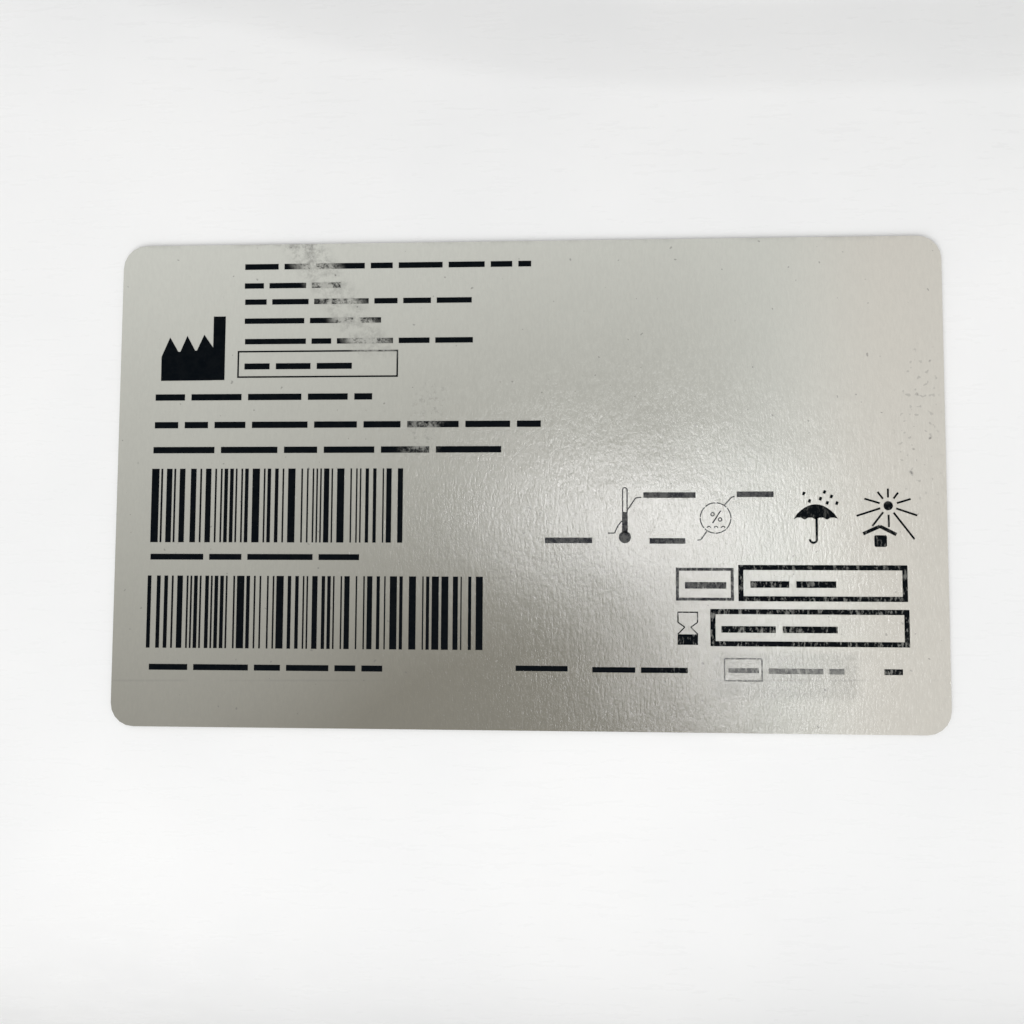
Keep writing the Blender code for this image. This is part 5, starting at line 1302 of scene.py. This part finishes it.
trigger_places = [-0.068 + 0.0034 * k for k in range(11)]
trigger_cut = {"radius": 0.0011, "depth": 0.00045, "half_width": TRIGGER_HALF - 0.0002}
trigger = cushioned(trigger_corners, -TRIGGER_HALF, TRIGGER_HALF, 0.003, 14, 7)
trigger = grooved(trigger, rounded(trigger_corners, 0, 14), 1, trigger_places, **trigger_cut)
trigger = machined(trigger, ("DIFFERENCE", post(0, 0, -0.02, 0.02, TRIGGER_BORE)))
trigger = fitted("trigger_blade", trigger, trigger_blue, "trigger", trigger_turn, 35)
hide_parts("firing_trigger")
safety_red = moulded("safety_red", (0.46, 0.028, 0.020), 0.38, 0.00030, 0.000010)
safety_corners = [
    (-0.0035, 0.003, 0.002),
    (-0.0035, -0.004, 0.003),
    (0.0040, -0.0125, 0.005),
    (0.0230, -0.0195, 0.0018),
    (0.0245, -0.0160, 0.0015),
    (0.0085, -0.0085, 0.005),
    (0.0040, 0.003, 0.002),
]
SAFETY_HALF = 0.0045
SAFETY_BORE = 0.0017
safety_turn = instrument_seat @ Matrix.Translation((*SAFETY_SPOT, 0))
safety_places = [0.0125 + 0.0024 * k for k in range(4)]
safety_cut = {"radius": 0.0009, "depth": 0.0004, "half_width": SAFETY_HALF + 0.0001}
safety = cushioned(safety_corners, -SAFETY_HALF, SAFETY_HALF, 0.0012, 10, 5)
safety = grooved(safety, rounded(safety_corners, 0, 10), 0, safety_places, **safety_cut)
safety = machined(safety, ("DIFFERENCE", post(0, 0, -0.02, 0.02, SAFETY_BORE)))
safety = fitted("safety_lever", safety, safety_red, "safety", safety_turn, 35)
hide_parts("safety_catch")


# The battery pack closes the grip: a black base with two finger grooves and a sprung latch, and a thin-
# walled bay with four shrink-wrapped cells that slides up the grip to the contacts.
PACK_INSERT = 0.066
PACK_HALF_DEPTH = 0.01855
PACK_HALF_WIDTH = 0.0103
PACK_FILLET = 0.006
BAY_WALL = 0.0013
CELL_LENGTH = 0.0345
CELL_GAP = 0.0005
GROOVE_DEPTH = 0.00035
GROOVE_WIDTH = 0.0009
LATCH_Y = 0.0048 - PACK_BASE
LATCH_POCKET = ((0.0159, LATCH_Y - 0.0033, -0.0053), (0.0335, LATCH_Y + 0.0033, 0.0053))
ABOVE_BASE = ((-0.06, -0.0003, -0.06), (0.06, 0.06, 0.06))


def pack_block(inset, foot):
    """The pack's outer form, and a length of grip above it, moved inwards by inset."""
    half_depth = GRIP_HALF_DEPTH - inset
    half_width = CASING_HALF_WIDTH - inset
    corners = box_corners((-half_depth, -foot), (half_depth, 2 * PACK_BASE), PACK_FILLET)
    return cushioned(corners, -half_width, half_width, CASING_EDGE, 10, 9)


bay_depth, bay_width = PACK_HALF_DEPTH - BAY_WALL, PACK_HALF_WIDTH - BAY_WALL
bay_floor = PACK_INSERT - 2 * CELL_LENGTH - 3 * CELL_GAP
GROOVES_AT = (-0.0076, -0.0052)
finger_grooves = together([cube((-0.03, y, -0.03), (0.03, y + GROOVE_WIDTH, 0.03)) for y in GROOVES_AT])
finger_grooves = machined(finger_grooves, ("DIFFERENCE", pack_block(GROOVE_DEPTH, PACK_BASE + 0.01)))
insert = cube((-PACK_HALF_DEPTH, -0.005, -PACK_HALF_WIDTH), (PACK_HALF_DEPTH, PACK_INSERT, PACK_HALF_WIDTH))
base = machined(
    pack_block(0, PACK_BASE),
    ("DIFFERENCE", cube(*ABOVE_BASE)),
    ("DIFFERENCE", finger_grooves),
    ("UNION", insert),
    ("DIFFERENCE", cube((-bay_depth, bay_floor, -bay_width), (bay_depth, PACK_INSERT + 0.01, bay_width))),
    ("DIFFERENCE", cube(*LATCH_POCKET)),
)
battery_black = moulded("battery_black", (0.024, 0.025, 0.028), 0.44, 0.00035, 0.000014, shine=0.35)
base = fitted("battery_body", base, battery_black, "battery", grip_seat, 35)
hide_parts("battery_case")
latch_blue = moulded("latch_blue", (0.022, 0.085, 0.190), 0.40, shine=0.35)
dress(latch_blue, "battery_latch")
cell_wrap = Finish("cell_wrap", (0.020, 0.110, 0.070), 0.30, Coat_Weight=0.3, Coat_Roughness=0.2)
wrap_creases = cell_wrap.noise(0.004, 3.0, 0.6)
cell_wrap.set("Roughness", wrap_creases.ramp(0.3, 0.7, 0.24, 0.42))
cell_wrap.bump(wrap_creases, 0.00015, 0.5)
dress(cell_wrap, *(f"battery_cell_{k}" for k in range(1, 5)))


# Inside the casing and the head: the staple driver, the cam and the motor's mount are moulded in natural
# nylon. The board is green glass fibre, and the switch on it is black.
nylon = moulded("nylon", (0.60, 0.61, 0.60), 0.45)
dress(nylon, "staple_driver", "motor_mount", "firing_cam")
board_green = Finish("board_green", (0.015, 0.120, 0.050), 0.38)
solder_mask = board_green.noise(0.0015, 3.0, 0.6)
board_tracks = solder_mask.ramp(0.45, 0.55)
board_green.set("Base Color", board_green.mix(board_tracks, (0.013, 0.110, 0.045), (0.03, 0.17, 0.08)))
board_green.set("Roughness", solder_mask.ramp(0.3, 0.7, 0.32, 0.46))
dress(board_green, "circuit_board")
dress(black_plastic, "trigger_switch")


# Inside the shaft: a nylon drive tube pushes the staple driver, and a spring steel band in it pulls the
# trocar. Both bend as they slide, so each is drawn in two lengths that meet halfway, both fixed where they
# lie at rest.
def sliding_length(name, shape, finish, still, moved, node):
    """A length of one, fixed where it lies at rest. The points at its two runs are worked out but not used.
    """
    length = fitted(name, shape, finish, None, instrument_seat)
    start, end = (instrument_seat @ Vector((*shaft_point(run)[:2], 0)) for run in (still, moved))
    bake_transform(length)
    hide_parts(node)


HALFWAY = SHAFT_LENGTH / 2
TUBE_RADIUS = 0.0045
TUBE_BORE = 0.0035
TUBE_REAR = -0.030
TUBE_FRONT = SHAFT_LENGTH - 0.0063
for name, body, ends, still, moved in (
    ("tube_rear", "bracket", (TUBE_REAR, HALFWAY), 0.012, TUBE_REAR + 0.002),
    ("tube_front", "driver", (HALFWAY, TUBE_FRONT), SHAFT_LENGTH - 0.018, TUBE_FRONT),
):
    tube = tube_along(TUBE_RADIUS, TUBE_BORE, *ends)
    sliding_length(name, tube, nylon, still, moved, "drive_tube")
BAND_SECTION = [(-0.00045, -0.002), (0.00045, -0.002), (0.00045, 0.002), (-0.00045, 0.002)]
BAND_REAR = -0.0137
BAND_FRONT = SHAFT_LENGTH - 0.0003
for name, body, ends, still, moved in (
    ("band_rear", "closure", (BAND_REAR, HALFWAY), 0.040, BAND_REAR),
    ("band_front", "trocar", (HALFWAY, BAND_FRONT), SHAFT_LENGTH - 0.070, BAND_FRONT),
):
    band = skinned(along_shaft(BAND_SECTION, *ends))
    sliding_length(name, band, ground_steel, still, moved, "pull_band")
